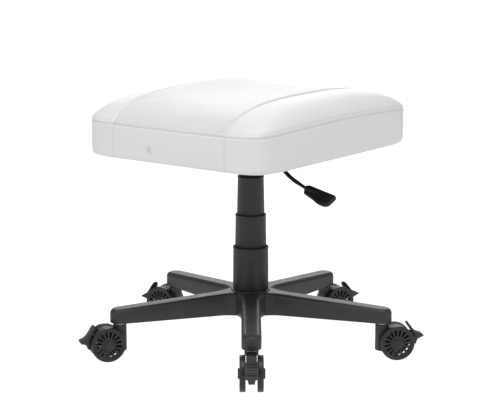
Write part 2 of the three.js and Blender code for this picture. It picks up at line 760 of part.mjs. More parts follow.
function hubBody() {
  const rise = HUB_TOP - ARM_FLOOR;
  const flare = [0, 0.25, 0.5, 0.75, 1].map((share) => [
    HUB_RADIUS + (HUB_SKIRT - HUB_RADIUS) * (1 - Math.sin(share * Math.PI / 2)),
    ARM_FLOOR + rise * (0.3 + 0.55 * share),
  ]);
  return turned([
    [0, ARM_FLOOR],
    [HUB_SKIRT - 1, ARM_FLOOR],
    [HUB_SKIRT, ARM_FLOOR + 1],
    ...flare,
    [HUB_RADIUS, HUB_TOP - 1],
    [HUB_RADIUS - 1, HUB_TOP],
    [0, HUB_TOP],
  ], 30);
}

function hubBore() {
  const low = TUBE_RADIUS - TUBE_TAPER + GAP;
  const high = TUBE_RADIUS + GAP;
  return turned([
    [0, ARM_FLOOR - 1],
    [low, ARM_FLOOR - 1],
    [low, ARM_FLOOR],
    [high, HUB_TOP],
    [high, armTop(0) + 1],
    [0, armTop(0) + 1],
  ]);
}

const armAngle = (index) => radians(-90 + 360 * index / ARMS);
const armIndexes = () => Array.from({ length: ARMS }, (_, index) => index);

function starBase() {
  const stemHole = rod(STEM_RADIUS + GAP, ARM_FLOOR - 1, ARM_FLOOR + STEM_GRIP + GAP, 12)
    .translate(STEM_CIRCLE, 0, 0);
  const arms = armIndexes().map((index) => armBody().rotateZ(armAngle(index)));
  const hollows = armIndexes().flatMap((index) =>
    [...armPockets(), stemHole].map((tool) => tool.clone().rotateZ(armAngle(index))));
  return cut(join(hubBody(), ...arms), hubBore(), ...hollows);
}

// ---------------------------------------------------------------- casters, +X outwards

// Turned about the axle: the profile is [radius, distance from the mid plane].
function aboutAxle(profile, sides) {
  return turned(profile, sides).rotateX(-Math.PI / 2).translate(TRAIL, 0, WHEEL_RADIUS);
}

// The tread has flat facets, one of them level on the floor.
function wheel() {
  const tread = WHEEL_RADIUS / Math.cos(Math.PI / WHEEL_SIDES);
  const bore = AXLE_RADIUS + GAP;
  const profile = [
    [bore, WHEEL_INNER],
    [tread - 1.6, WHEEL_INNER],
    [tread, WHEEL_INNER + 1.6],
    [tread, WHEEL_OUTER - 1.6],
    [tread - 1.6, WHEEL_OUTER],
    [BOSS_RADIUS, WHEEL_OUTER],
    [BOSS_RADIUS - 0.6, WHEEL_OUTER + BOSS],
    [0, WHEEL_OUTER + BOSS],
    [0, WHEEL_OUTER + BOSS - 2],
    [bore, WHEEL_OUTER + BOSS - 2],
    [bore, WHEEL_INNER],
  ];
  const half = Math.PI / WHEEL_SIDES;
  return turned(profile, WHEEL_SIDES)
    .rotateZ(half)
    .rotateX(Math.PI / 2)
    .translate(TRAIL, 0, WHEEL_RADIUS);
}

function axle() {
  const half = WHEEL_OUTER + BOSS - 2 - GAP;
  return aboutAxle([[0, -half], [AXLE_RADIUS, -half], [AXLE_RADIUS, half], [0, half]], 12);
}

function casterStem() {
  const foot = NECK_TOP - STEM_SEAT;
  const collar = NECK_TOP + GAP;
  return turned([
    [0, foot],
    [STEM_RADIUS, foot],
    [STEM_RADIUS, collar],
    [COLLAR_RADIUS, collar],
    [COLLAR_RADIUS, collar + COLLAR],
    [STEM_RADIUS, collar + COLLAR],
    [STEM_RADIUS, ARM_FLOOR + STEM_GRIP],
    [0, ARM_FLOOR + STEM_GRIP],
  ], 12);
}

// The web between the wheels: a hood over the axle joined to the upright neck.
function casterHousing() {
  const steps = 7;
  const hood = Array.from({ length: steps + 1 }, (_, index) => {
    const angle = radians(28 + 132 * index / steps);
    return [TRAIL + HOOD_RADIUS * Math.cos(angle), WHEEL_RADIUS + HOOD_RADIUS * Math.sin(angle)];
  });
  const web = [
    [TRAIL + 9, WHEEL_RADIUS - 9],
    ...hood,
    [0, WHEEL_RADIUS + 9],
    [0, NECK_FOOT + 4],
    [TRAIL - 6, WHEEL_RADIUS - 12],
  ];
  const neck = turned([
    [0, NECK_FOOT],
    [NECK_RADIUS - 2, NECK_FOOT],
    [NECK_RADIUS, NECK_FOOT + 2],
    [NECK_RADIUS, NECK_TOP],
    [0, NECK_TOP],
  ], 12);
  const half = NECK_RADIUS + 1;
  const low = common(neck, box([-half, -HOOD_HALF, 0], [half, HOOD_HALF, NECK_TOP]));
  const high = common(neck, box([-half, -half, NECK_SHOULDER], [half, half, NECK_TOP + 1]));
  const upright = join(low, high);
  const body = join(widened(web, HOOD_HALF), upright);
  const stemHole = rod(STEM_RADIUS + GAP, NECK_TOP - STEM_SEAT - GAP, NECK_TOP + 1, 12);
  const axleHole = aboutAxle([[0, -30], [AXLE_RADIUS + GAP, -30], [AXLE_RADIUS + GAP, 30], [0, 30]], 12);
  const trunnionHole = pedalPin(TRUNNION_RADIUS + GAP, TRUNNION_HALF + GAP);
  return cut(body, stemHole, axleHole, pedalSlot(), trunnionHole);
}

// A pin across the caster on the pedal's pivot.
function pedalPin(radius, half) {
  const [x, z] = PEDAL_PIVOT;
  return rod(radius, -half, half, 12).rotateX(Math.PI / 2).translate(TRAIL + x, 0, WHEEL_RADIUS + z);
}

// Room in the web for the pedal's inner end to rock.
function pedalSlot() {
  return pedalPin(12, PEDAL_NECK / 2 + 1);
}

// Side outline of the pressed pedal, from the axle: a release blade above, a foot
// outwards and a heel below.
const PEDAL_SIDE = [
  [21, 31], [24, 33.5], [27, 26], [31, 18], [37.5, 11], [45, 7.5], [47, 5], [45, 3],
  [39, 1], [35.5, -2], [33, -8], [30.8, -8.5], [31.3, -1], [31.6, 4], [29.5, 13], [25, 22],
];

function brakePedal(lift) {
  const place = (outline) => outline.map(([x, z]) => [TRAIL + x, WHEEL_RADIUS + z]);
  const side = widened(place(PEDAL_SIDE.map(roundWheel)), PEDAL_HALF);
  const shoulder = WHEEL_RADIUS - 11;
  const front = [
    [-5, -10], [5, -10], [6, -1], [PEDAL_HALF, 6], [PEDAL_HALF, shoulder], [8, shoulder + 9],
    [0, shoulder + 17], [-8, shoulder + 9], [-PEDAL_HALF, shoulder], [-PEDAL_HALF, 6], [-6, -1],
  ];
  const face = raised(front.map(([y, z]) => new THREE.Vector2(y, z)), -60, 60)
    .rotateX(Math.PI / 2)
    .rotateZ(Math.PI / 2)
    .translate(TRAIL + PEDAL_TIP[0], 0, WHEEL_RADIUS);
  const [x, z] = PEDAL_PIVOT;
  const outer = [[32, 5], [32.5, 9], [30, 15]].map(roundWheel);
  const arm = [[x - 4, z - 4], ...outer, [x, z + 5], [x - 4, z + 3]];
  const neck = widened(place(arm), PEDAL_NECK / 2);
  return join(common(side, face), neck, pedalPin(TRUNNION_RADIUS, TRUNNION_HALF))
    .translate(-TRAIL - x, 0, -WHEEL_RADIUS - z)
    .rotateY(radians(-lift))
    .translate(TRAIL + x, 0, WHEEL_RADIUS + z);
}

function caster(index) {
  const group = new THREE.Group();
  const name = `caster_${index + 1}`;
  const place = armAngle(index);
  const other = wheel().rotateX(Math.PI).translate(0, 0, 2 * WHEEL_RADIUS);
  group.add(
    piece(`${name}_stem`, casterStem(), zincSteel()),
    piece(`${name}_housing`, casterHousing(), blackNylon()),
    piece(`${name}_axle`, axle(), zincSteel()),
    piece(`${name}_wheel_a`, wheel(), wheelNylon()),
    piece(`${name}_wheel_b`, other, wheelNylon()),
    piece(`${name}_brake`, brakePedal(PEDALS_UP[index] ? PEDAL_LIFT : 0), blackNylon()),
  );
  group.position.set(STEM_CIRCLE * Math.cos(place), STEM_CIRCLE * Math.sin(place), 0);
  group.rotation.z = place + radians(CASTER_TURNS[index]);
  return group;
}

// ---------------------------------------------------------------- assembly

function seatGroup() {
  const group = new THREE.Group();
  group.rotation.z = radians(SEAT_YAW);
  group.add(
    piece('seat_cover', seatCover(), whiteLeather()),
    piece('seat_foam', seatFoam(), foam()),
    piece('seat_board', seatBoard(), plywood()),
    piece('dust_cover', dustCover(), blackCloth()),
    piece('seat_plate', seatPlate(), blackSteel()),
    piece('lever_bracket', leverBracket(), blackSteel()),
    piece('socket_tube', socketTube(), blackSteel()),
    piece('lever_pivot_pin', pivotPin(), zincSteel()),
    piece('lever_rod', leverRod(), blackSteel()),
    piece('lever_paddle', leverPaddle(), paddlePlastic()),
    piece('gas_cylinder', gasCylinder(), chromedSteel()),
    piece('release_button', releaseButton(), zincSteel()),
  );
  boltPlaces().forEach(([x, y], index) => {
    group.add(piece(`t_nut_${index + 1}`, tNut().translate(x, y, 0), zincSteel()));
    group.add(piece(`seat_bolt_${index + 1}`, seatBolt().translate(x, y, 0), zincSteel()));
  });
  return group;
}

function columnGroup() {
  const group = new THREE.Group();
  group.add(
    piece('stand_tube', standTube(), blackSteel()),
    piece('guide_bush', guideBush(), bushPlastic()),
    piece('piston_rod', pistonRod(), chromedSteel()),
    piece('retaining_clip', retainingClip(), zincSteel()),
    piece('thrust_bearing', thrustBearing(), zincSteel()),
    piece('rubber_bumper', rubberBumper(), blackRubber()),
    piece('cover_lower', lowerCover(), coverPlastic()),
    piece('cover_middle', middleCover(), coverPlastic()),
    piece('cover_upper', upperCover(), coverPlastic()),
  );
  return group;
}

function stool() {
  const group = new THREE.Group();
  group.add(piece('star_base', starBase(), blackNylon()), columnGroup(), seatGroup());
  armIndexes().forEach((index) => group.add(caster(index)));
  group.position.y = COLUMN_Y;
  return group;
}

const model = stool();

export default model;
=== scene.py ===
# %% [markdown]
# # A padded salon stool on a five-arm base
#
# The stool has three kinds of part. The seat is soft: foam under sewn synthetic leather.
# The column, the star base and the casters are moulded nylon. The lever, the gas lift
# and the fixings are steel. The mechanical frame is already fixed, with every piece at
# its true size and with its joints, so this lesson only gives each piece its finished
# shape and surface. Nothing moves away from where the frame has it: every position below
# is read from the frame's own pieces, and all lengths are in metres.

# %% Load the frame
import bpy
import bmesh
import json
import math
import numpy as np
from mathutils import Matrix, Vector
from mathutils.bvhtree import BVHTree


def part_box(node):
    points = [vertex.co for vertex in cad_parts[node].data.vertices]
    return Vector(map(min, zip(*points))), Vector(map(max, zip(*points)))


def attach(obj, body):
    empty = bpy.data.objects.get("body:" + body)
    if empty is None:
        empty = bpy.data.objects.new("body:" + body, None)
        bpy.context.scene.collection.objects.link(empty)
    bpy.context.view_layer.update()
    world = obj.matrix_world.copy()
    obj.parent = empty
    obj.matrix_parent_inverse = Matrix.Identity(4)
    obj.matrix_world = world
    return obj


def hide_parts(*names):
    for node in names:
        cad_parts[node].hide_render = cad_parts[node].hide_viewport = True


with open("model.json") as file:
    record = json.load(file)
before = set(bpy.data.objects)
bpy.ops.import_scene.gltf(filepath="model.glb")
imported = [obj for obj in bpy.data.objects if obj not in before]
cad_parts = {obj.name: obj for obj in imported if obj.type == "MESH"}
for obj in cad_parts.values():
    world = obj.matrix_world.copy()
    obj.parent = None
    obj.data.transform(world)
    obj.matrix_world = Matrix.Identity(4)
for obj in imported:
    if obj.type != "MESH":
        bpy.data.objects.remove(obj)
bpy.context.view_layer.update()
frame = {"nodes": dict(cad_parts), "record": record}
joints = {joint["name"]: joint for joint in frame["record"]["behaviour"]["joints"]}
scene = bpy.context.scene
MM = 0.001

# %% [markdown]
# ## Where things stand
#
# The column stands a little off the middle of the stool's box, because the seat's corner
# and the front caster reach out by different lengths. The seat itself is turned on the
# column. It is easier to build the cushion square to the axes and to turn the finished
# mesh once, so two transforms carry every later piece to its place: one for the seat and
# one for each caster.

# %% Axes of the seat and of the five casters
column = Vector(joints["seat_swivel"]["pos_m"])
column.z = 0
SEAT_YAW = math.radians(-37)
onto_seat = Matrix.Translation(column) @ Matrix.Rotation(SEAT_YAW, 4, "Z")
CASTERS = 5


def seat_size(node):
    """Lowest and highest corner of a node, measured along the seat's own sides."""
    back = onto_seat.inverted()
    corners = np.array([back @ vertex.co for vertex in frame["nodes"][node].data.vertices])
    return corners.min(0), corners.max(0)


def caster_place(number):
    """The transform from a caster drawn at the origin, trailing along +X, to its stem."""
    stem = Vector(joints[f"caster_{number}_swivel"]["pos_m"])
    low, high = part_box(f"caster_{number}_axle")
    axle = (low + high) / 2
    turn = math.atan2(axle.y - stem.y, axle.x - stem.x)
    return Matrix.Translation((stem.x, stem.y, 0)) @ Matrix.Rotation(turn, 4, "Z")


seat_low, seat_high = seat_size("seat_cover")
HALF_WIDTH, HALF_DEPTH = float(seat_high[0]), float(seat_high[1])
SEAT_BOTTOM = float(seat_low[2])
print("cushion", round(2 * HALF_WIDTH, 3), "by", round(2 * HALF_DEPTH, 3), "bottom at", SEAT_BOTTOM)

# %% [markdown]
# ## A shorthand for surface recipes
#
# A finish is a small network of shader nodes. Wiring it by hand is long, and it hides
# the idea. A thin wrapper round one socket lets sums be written as sums: adding two
# fields adds a Math node. Every other kind of node comes from one method, which takes
# the node's settings first and then the values of its sockets.

# %% Fields that can be added and multiplied
class Field:
    def __init__(self, tree, socket):
        self.tree = tree
        self.socket = socket

    def math(self, operation, left, right):
        node = self.tree.nodes.new("ShaderNodeMath")
        node.operation = operation
        for place, value in enumerate((left, right)):
            if isinstance(value, Field):
                self.tree.links.new(value.socket, node.inputs[place])
            else:
                node.inputs[place].default_value = value
        return Field(self.tree, node.outputs[0])

    def __add__(self, other):
        return self.math("ADD", self, other)

    def __mul__(self, other):
        return self.math("MULTIPLY", self, other)

    def __sub__(self, other):
        return self.math("SUBTRACT", self, other)

    def __rsub__(self, other):
        return self.math("SUBTRACT", other, self)

    def __pow__(self, other):
        return self.math("POWER", self, other)

    __radd__ = __add__
    __rmul__ = __mul__


class Finish:
    """A material under construction, with one method for any node."""

    def __init__(self, name, **sockets):
        self.material = bpy.data.materials.new(name)
        self.material.use_nodes = True
        self.tree = self.material.node_tree
        self.shader = self.tree.nodes["Principled BSDF"]
        for socket, value in sockets.items():
            self.shader.inputs[socket.replace("_", " ")].default_value = value

    def node(self, kind, settings=None, output=0, **sockets):
        node = self.tree.nodes.new(kind)
        for setting, value in (settings or {}).items():
            if setting == "stops":
                for stop, (position, tone) in zip(node.color_ramp.elements, value):
                    stop.position = position
                    stop.color = (tone, tone, tone, 1)
            else:
                setattr(node, setting, value)
        for socket, value in sockets.items():
            target = node.inputs[int(socket[1:])] if socket[0] == "i" else node.inputs[socket]
            if isinstance(value, Field):
                self.tree.links.new(value.socket, target)
            else:
                target.default_value = value
        return Field(self.tree, node.outputs[output])

    def place(self, scale=(1, 1, 1)):
        """Object coordinates, stretched so that a pattern can run in streaks."""
        where = self.node("ShaderNodeTexCoord", output=3)
        return self.node("ShaderNodeMapping", Vector=where, Scale=scale)

    def noise(self, per_metre, detail=3.0, stretch=(1, 1, 1)):
        return self.node("ShaderNodeTexNoise", Vector=self.place(stretch), Scale=per_metre, Detail=detail)

    def cells(self, per_metre, feature="F1"):
        settings = {"feature": feature}
        return self.node("ShaderNodeTexVoronoi", settings, Vector=self.place(), Scale=per_metre)

    def painted(self, name):
        """A value stored on the mesh, such as how near a point is to a seam."""
        return self.node("ShaderNodeAttribute", {"attribute_name": name}, output=2)

    def ramp(self, value, low, high, dark=0.0, light=1.0):
        return self.node("ShaderNodeValToRGB", {"stops": ((low, dark), (high, light))}, Fac=value)

    def blend(self, factor, first, second):
        pair = [(*tone, 1) if isinstance(tone, tuple) else tone for tone in (first, second)]
        settings = {"data_type": "RGBA"}
        return self.node("ShaderNodeMix", settings, output=2, i0=factor, i6=pair[0], i7=pair[1])

    def feed(self, socket, value):
        self.tree.links.new(value.socket, self.shader.inputs[socket])

    def relief(self, height, depth, strength=1.0):
        bump = self.node("ShaderNodeBump", Height=height, Distance=depth, Strength=strength)
        self.feed("Normal", bump)


print("shader shorthand ready")

# %% [markdown]
# ## White synthetic leather
#
# The cover is coated cloth: a soft satin skin over a fine pebbled grain about a
# millimetre across, with hairline pores between the pebbles. The middle panel is cut
# from a slightly warmer sheet than the side bolsters. Along the seams the light hardly
# gets in, so the skin is painted a little darker there: painted shade. The small dimple
# low on the front band is painted darker and browner too, as painted shade in its hollow.
# The mesh stores three painted values, `panel`, `seam` and `spot`, and the recipe reads
# them, so the colour follows the sewing pattern and not the camera.

# %% Leather, thread and foam
def leather_finish():
    finish = Finish("white_leather", Roughness=0.45, Coat_Weight=0.0)
    finish.shader.inputs["Specular IOR Level"].default_value = 0.42
    cloud = finish.noise(14, 2)
    bolster = finish.blend(cloud, (0.86, 0.862, 0.868), (0.905, 0.905, 0.907))
    middle = finish.blend(cloud, (0.795, 0.782, 0.768), (0.842, 0.83, 0.818))
    skin = finish.blend(finish.painted("panel"), bolster, middle)
    # Painted shade: the skin is darkened along the seams and stitch lines, where the light hardly gets in.
    seam_shade = finish.blend(finish.painted("seam") * 0.24, skin, (0.42, 0.41, 0.40))
    # Painted shade: the tack's dimple low on the front band is darkened and tinted brown.
    spot = finish.blend(finish.painted("spot") * 0.5, seam_shade, (0.45, 0.36, 0.27))
    finish.feed("Base Color", spot)
    pebble = finish.cells(760)
    pore = finish.cells(1500, "DISTANCE_TO_EDGE")
    ripple = finish.noise(210, 3)
    finish.feed("Roughness", finish.noise(55, 2) * 0.16 + 0.36)
    finish.relief(pebble * -0.7 + pore * 0.9 + ripple * 1.1, 0.00016, 0.75)
    return finish.material


def thread_finish():
    finish = Finish("white_thread", Roughness=0.62)
    ply = finish.node("ShaderNodeTexWave", Vector=finish.place(), Scale=900, Distortion=1.5)
    finish.feed("Base Color", finish.blend(ply, (0.78, 0.775, 0.765), (0.9, 0.895, 0.885)))
    finish.relief(ply, 0.00008, 0.8)
    return finish.material


def foam_finish():
    finish = Finish("foam", Roughness=0.95)
    bubbles = finish.cells(900)
    finish.feed("Base Color", finish.blend(bubbles, (0.70, 0.64, 0.40), (0.52, 0.46, 0.26)))
    finish.relief(bubbles, 0.0006)
    return finish.material


leather, thread, foam = leather_finish(), thread_finish(), foam_finish()
print("made", leather.name, thread.name, foam.name)

# %% [markdown]
# ## Moulded plastics and rubber
#
# The base and the caster bodies are glass-filled nylon: nearly black, matt, with a fine
# spark-eroded speckle from the mould and faint drifts where the melt cooled unevenly.
# The sleeves over the column are a softer dark grey. The wheels are smoother, so their
# treads catch a bright edge. All share one recipe with different numbers: a broad cloud
# for the colour, a fine speckle for the relief, and a roughness that drifts a little.

# %% One recipe for every moulded part
def moulded_finish(name, dark, light, rough, speckle, depth):
    finish = Finish(name)
    drift = finish.noise(38, 4)
    grit = finish.noise(speckle, 2)
    finish.feed("Base Color", finish.blend(finish.ramp(drift, 0.3, 0.7), dark, light))
    finish.feed("Roughness", drift * 0.14 + grit * 0.1 + (rough - 0.12))
    finish.relief(grit, depth, 0.7)
    return finish.material


moulded = {               # darkest and lightest colour, roughness, speckles a metre, their depth
    "black_nylon": ((0.028, 0.028, 0.031), (0.040, 0.040, 0.043), 0.42, 2300, 0.0001),
    "cover_plastic": ((0.024, 0.023, 0.024), (0.032, 0.031, 0.032), 0.52, 1900, 0.00008),
    "wheel_nylon": ((0.02, 0.02, 0.022), (0.028, 0.028, 0.03), 0.36, 1500, 0.00003),
    "paddle_plastic": ((0.011, 0.011, 0.012), (0.017, 0.017, 0.018), 0.46, 2100, 0.00006),
    "bush_plastic": ((0.74, 0.73, 0.68), (0.8, 0.79, 0.75), 0.5, 1200, 0.00004),
    "black_rubber": ((0.009, 0.009, 0.009), (0.016, 0.016, 0.016), 0.85, 900, 0.00012),
}
moulded = {name: moulded_finish(name, *numbers) for name, numbers in moulded.items()}
black_nylon, sleeve_plastic = moulded["black_nylon"], moulded["cover_plastic"]
wheel_nylon, paddle_plastic = moulded["wheel_nylon"], moulded["paddle_plastic"]
print("moulded finishes:", ", ".join(moulded))

# %% [markdown]
# ## Metals, plywood and lining
#
# Powder coat has a faint orange peel. Zinc plate is grey with fine drawn streaks along
# the part and a cloudy tint. Hard chrome is nearly a mirror with the finest turning
# marks. Plywood shows stretched grain, and the lining under the seat is a felt of short
# fibres pressed with a grid of tiny dimples.

# %% Metal, wood and lining finishes
def metal_finish(name, dark, light, rough, streaks, metallic=1.0):
    finish = Finish(name, Metallic=metallic)
    grain = finish.noise(160, 4, streaks)
    cloud = finish.noise(30, 2)
    finish.feed("Base Color", finish.blend(grain * 0.5 + cloud * 0.5, dark, light))
    finish.feed("Roughness", grain * 0.2 + (rough - 0.1))
    finish.relief(grain, 0.00003, 0.6)
    return finish.material


def wood_finish():
    finish = Finish("plywood", Roughness=0.75)
    grain = finish.noise(60, 6, (1, 9, 9))
    finish.feed("Base Color", finish.blend(grain, (0.30, 0.17, 0.075), (0.58, 0.38, 0.19)))
    finish.relief(grain, 0.0003)
    return finish.material


def lining_finish():
    finish = Finish("black_cloth", Roughness=0.95)
    finish.shader.inputs["Sheen Weight"].default_value = 0.25
    fibres = finish.noise(700, 6, (1, 3.5, 1))
    dimples = finish.cells(520)
    finish.feed("Base Color", finish.blend(fibres, (0.008, 0.008, 0.009), (0.03, 0.03, 0.032)))
    finish.relief(fibres * 0.6 + dimples, 0.00035)
    return finish.material


black_steel = metal_finish("black_steel", (0.010, 0.010, 0.011), (0.02, 0.02, 0.022), 0.42, (1, 1, 1), 0.3)
zinc_steel = metal_finish("zinc_steel", (0.42, 0.43, 0.45), (0.62, 0.63, 0.64), 0.38, (6, 6, 0.4))
chromed_steel = metal_finish("chromed_steel", (0.68, 0.69, 0.71), (0.8, 0.81, 0.82), 0.14, (1, 1, 14))
plywood, lining = wood_finish(), lining_finish()
finishes = {
    "white_leather": leather, "foam": foam, "plywood": plywood, "black_cloth": lining,
    "black_steel": black_steel, "zinc_steel": zinc_steel, "chromed_steel": chromed_steel,
    **moulded,
}
print(len(finishes), "finishes by slot")

# %% [markdown]
# ## Small tools for making meshes
#
# Four ways of making a solid cover nearly the whole stool. A turned part is a profile
# spun about an axis, which gives sleeves, wheels, pins and stems. A flat part is an
# outline pushed up to a thickness. A rod follows a path. A stack is a list of rings
# joined one to the next, for shapes whose outline changes with height.

# %% Turned, flat, bent and stacked solids
AXIS = 0.01 * MM         # a solid turned part starts this close to its axis


def new_piece(name, points, faces, finish, sharp=35):
    mesh = bpy.data.meshes.new(name)
    mesh.from_pydata([tuple(point) for point in points], [], faces)
    mesh.materials.append(finish)
    piece = bpy.data.objects.new(name, mesh)
    scene.collection.objects.link(piece)
    tidy(piece, sharp)
    return piece


def tidy(piece, sharp=35):
    """Merges doubles, points the faces outwards and keeps only real edges sharp."""
    work = bmesh.new()
    work.from_mesh(piece.data)
    bmesh.ops.remove_doubles(work, verts=work.verts, dist=1e-6)
    bmesh.ops.dissolve_degenerate(work, edges=work.edges, dist=1e-7)
    bmesh.ops.recalc_face_normals(work, faces=work.faces)
    work.to_mesh(piece.data)
    work.free()
    piece.data.shade_smooth()
    piece.data.set_sharp_from_angle(angle=math.radians(sharp))
    return piece


def ring_stack(name, rings, finish, sharp=35, closed=False):
    """Joins rings of equal length; an end ring is closed by a fan unless the stack loops."""
    count = len(rings[0])
    points = [point for ring in rings for point in ring]
    levels = range(len(rings) if closed else len(rings) - 1)
    faces = []
    for level in levels:
        low = level * count
        high = (level + 1) % len(rings) * count
        for index in range(count):
            after = (index + 1) % count
            faces.append((low + index, low + after, high + after, high + index))
    if not closed:
        faces.append(tuple(reversed(range(count))))
        faces.append(tuple((len(rings) - 1) * count + index for index in range(count)))
    return new_piece(name, points, faces, finish, sharp)


def turned(name, profile, finish, sides=64, sharp=35):
    """A closed profile of (radius, height) pairs spun about +Z."""
    angles = [2 * math.pi * index / sides for index in range(sides)]
    rings = [[(r * math.cos(a), r * math.sin(a), z) for a in angles] for r, z in profile]
    return ring_stack(name, rings, finish, sharp, closed=True)


def in_mm(pairs):
    """Pairs written in millimetres, as metres."""
    return [(first * MM, second * MM) for first, second in pairs]


def round_bar(name, radius, bottom, top, finish, sides):
    """A plain cylinder about +Z: a pin, or a tool that bores a hole."""
    return turned(name, [(AXIS, bottom), (radius, bottom), (radius, top), (AXIS, top)], finish, sides)


def flat_part(name, outline, bottom, top, finish, sharp=35):
    rings = [[(x, y, level) for x, y in outline] for level in (bottom, top)]
    return ring_stack(name, rings, finish, sharp)


def side_part(name, outline, half, finish, sharp=35):
    """An (x, z) outline widened equally to both sides of the middle plane."""
    rings = [[(x, side, z) for x, z in outline] for side in (-half, half)]
    return ring_stack(name, rings, finish, sharp)


def bent_rod(name, path, radius, finish, sides=20):
    """A round rod along a list of points, with rounded ends."""
    path = [Vector(point) for point in path]
    rings = []
    for index, point in enumerate(path):
        before, after = path[max(index - 1, 0)], path[min(index + 1, len(path) - 1)]
        along = (after - before).normalized()
        side = along.cross(Vector((0, 1, 0))).normalized()
        up = side.cross(along)
        edge = 0.55 if index in (0, len(path) - 1) else 1
        angles = [2 * math.pi * step / sides for step in range(sides)]
        rings.append([point + radius * edge * (math.cos(a) * side + math.sin(a) * up) for a in angles])
    return ring_stack(name, rings, finish, 50)


print("mesh tools ready")

# %% [markdown]
# ## Finishing a piece
#
# Modifiers such as Bevel and Boolean are instructions, and a finished piece keeps only
# their result. One helper applies them. Another carries a mesh to its place, so that
# every object stays at the origin with its position in its vertices, and one more ties it
# to the body it moves with and hides the frame piece it stands for.

# %% Apply, round over, cut, join and hand over
def settle(piece):
    """Replaces a piece's mesh by what its modifiers make of it."""
    graph = bpy.context.evaluated_depsgraph_get()
    made = bpy.data.meshes.new_from_object(piece.evaluated_get(graph))
    piece.modifiers.clear()
    piece.data = made
    return piece


def rounded(piece, width, segments=2, angle=30):
    bevel = piece.modifiers.new("edges", "BEVEL")
    bevel.width = width
    bevel.segments = segments
    bevel.limit_method = "ANGLE"
    bevel.angle_limit = math.radians(angle)
    settle(piece)
    piece.data.shade_smooth()
    piece.data.set_sharp_from_angle(angle=math.radians(40))
    return piece


def combine(piece, operation, *others):
    """A boolean with other pieces, which are used up."""
    for other in others:
        cut = piece.modifiers.new("cut", "BOOLEAN")
        cut.operation = operation
        cut.object = other
        cut.solver = "EXACT"
        cut.use_self = True
        settle(piece)
        bpy.data.objects.remove(other)
    return tidy(piece)


def joined(name, *pieces):
    """Several meshes in one object, without cutting them where they meet."""
    work = bmesh.new()
    for piece in pieces:
        work.from_mesh(piece.data)
    mesh = bpy.data.meshes.new(name)
    work.to_mesh(mesh)
    work.free()
    mesh.materials.append(pieces[0].data.materials[0])
    for piece in pieces:
        bpy.data.objects.remove(piece)
    whole = bpy.data.objects.new(name, mesh)
    scene.collection.objects.link(whole)
    mesh.shade_smooth()
    mesh.set_sharp_from_angle(angle=math.radians(38))
    return whole


def carry(piece, place):
    piece.data.transform(place)
    return piece


def laid_across(piece, x, z):
    """Turns a part drawn about +Z to lie along Y, with its middle at (x, z)."""
    return carry(piece, Matrix.Translation((x, 0, z)) @ Matrix.Rotation(math.pi / 2, 4, "X"))


def hand_over(piece, body, slot, *nodes):
    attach(piece, body)
    if nodes:
        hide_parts(*nodes)
    return piece


print("finishing tools ready")

# %% [markdown]
# ## Repeats with Geometry Nodes
#
# Stitches, staples, spokes, ribs and the arms of the base are one small shape repeated
# along a path or round a centre. A node tree states that rule once. Two trees are
# enough: one sets copies round the Z axis, the other sets them along a path at an even
# pitch. Both end by realising the copies and giving them a finish, and the result is
# then turned into a plain mesh.

# %% A tree builder with named inputs
class Tree:
    def __init__(self, name, inputs):
        self.tree = bpy.data.node_groups.new(name, "GeometryNodeTree")
        face = self.tree.interface
        face.new_socket("Geometry", in_out="INPUT", socket_type="NodeSocketGeometry")
        self.keys = {}
        for title, kind in inputs.items():
            socket = face.new_socket(title, in_out="INPUT", socket_type=f"NodeSocket{kind}")
            self.keys[title] = socket.identifier
        face.new_socket("Geometry", in_out="OUTPUT", socket_type="NodeSocketGeometry")
        self.start = self.tree.nodes.new("NodeGroupInput")
        self.end = self.tree.nodes.new("NodeGroupOutput")

    def given(self, title):
        return self.start.outputs[title]

    def add(self, kind, settings=None, output=0, **sockets):
        node = self.tree.nodes.new(kind)
        for setting, value in (settings or {}).items():
            setattr(node, setting, value)
        for socket, value in sockets.items():
            numbered = socket[1:].isdigit()
            target = node.inputs[int(socket[1:]) if numbered else socket.replace("_", " ")]
            if isinstance(value, bpy.types.NodeSocket):
                self.tree.links.new(value, target)
            else:
                target.default_value = value
        return node.outputs[output]

    def give(self, geometry, finish):
        real = self.add("GeometryNodeRealizeInstances", Geometry=geometry)
        done = self.add("GeometryNodeSetMaterial", Geometry=real, Material=finish)
        self.tree.links.new(done, self.end.inputs[0])

    def run(self, piece, **values):
        """Sets the named inputs, then swaps the piece's mesh for the tree's result."""
        modifier = piece.modifiers.new("tree", "NODES")
        modifier.node_group = self.tree
        for title, value in values.items():
            modifier[self.keys[title]] = value
        return settle(piece)


def radial_tree():
    """The incoming mesh copied round +Z, joined to a middle piece if one is given."""
    tree = Tree("around_centre", {"Count": "Int", "Middle": "Object", "Finish": "Material"})
    index = tree.add("GeometryNodeInputIndex")
    share = tree.add("ShaderNodeMath", {"operation": "DIVIDE"}, i0=index, i1=tree.given("Count"))
    turn = tree.add("ShaderNodeMath", {"operation": "MULTIPLY"}, i0=share, i1=2 * math.pi)
    spin = tree.add("ShaderNodeCombineXYZ", Z=turn)
    places = tree.add("GeometryNodePoints", Count=tree.given("Count"))
    copies = tree.add(
        "GeometryNodeInstanceOnPoints", Points=places, Instance=tree.given("Geometry"), Rotation=spin,
    )
    middle = tree.add("GeometryNodeObjectInfo", output=4, Object=tree.given("Middle"))
    both = tree.tree.nodes.new("GeometryNodeJoinGeometry")
    tree.tree.links.new(copies, both.inputs[0])
    tree.tree.links.new(middle, both.inputs[0])
    tree.give(both.outputs[0], tree.given("Finish"))
    return tree


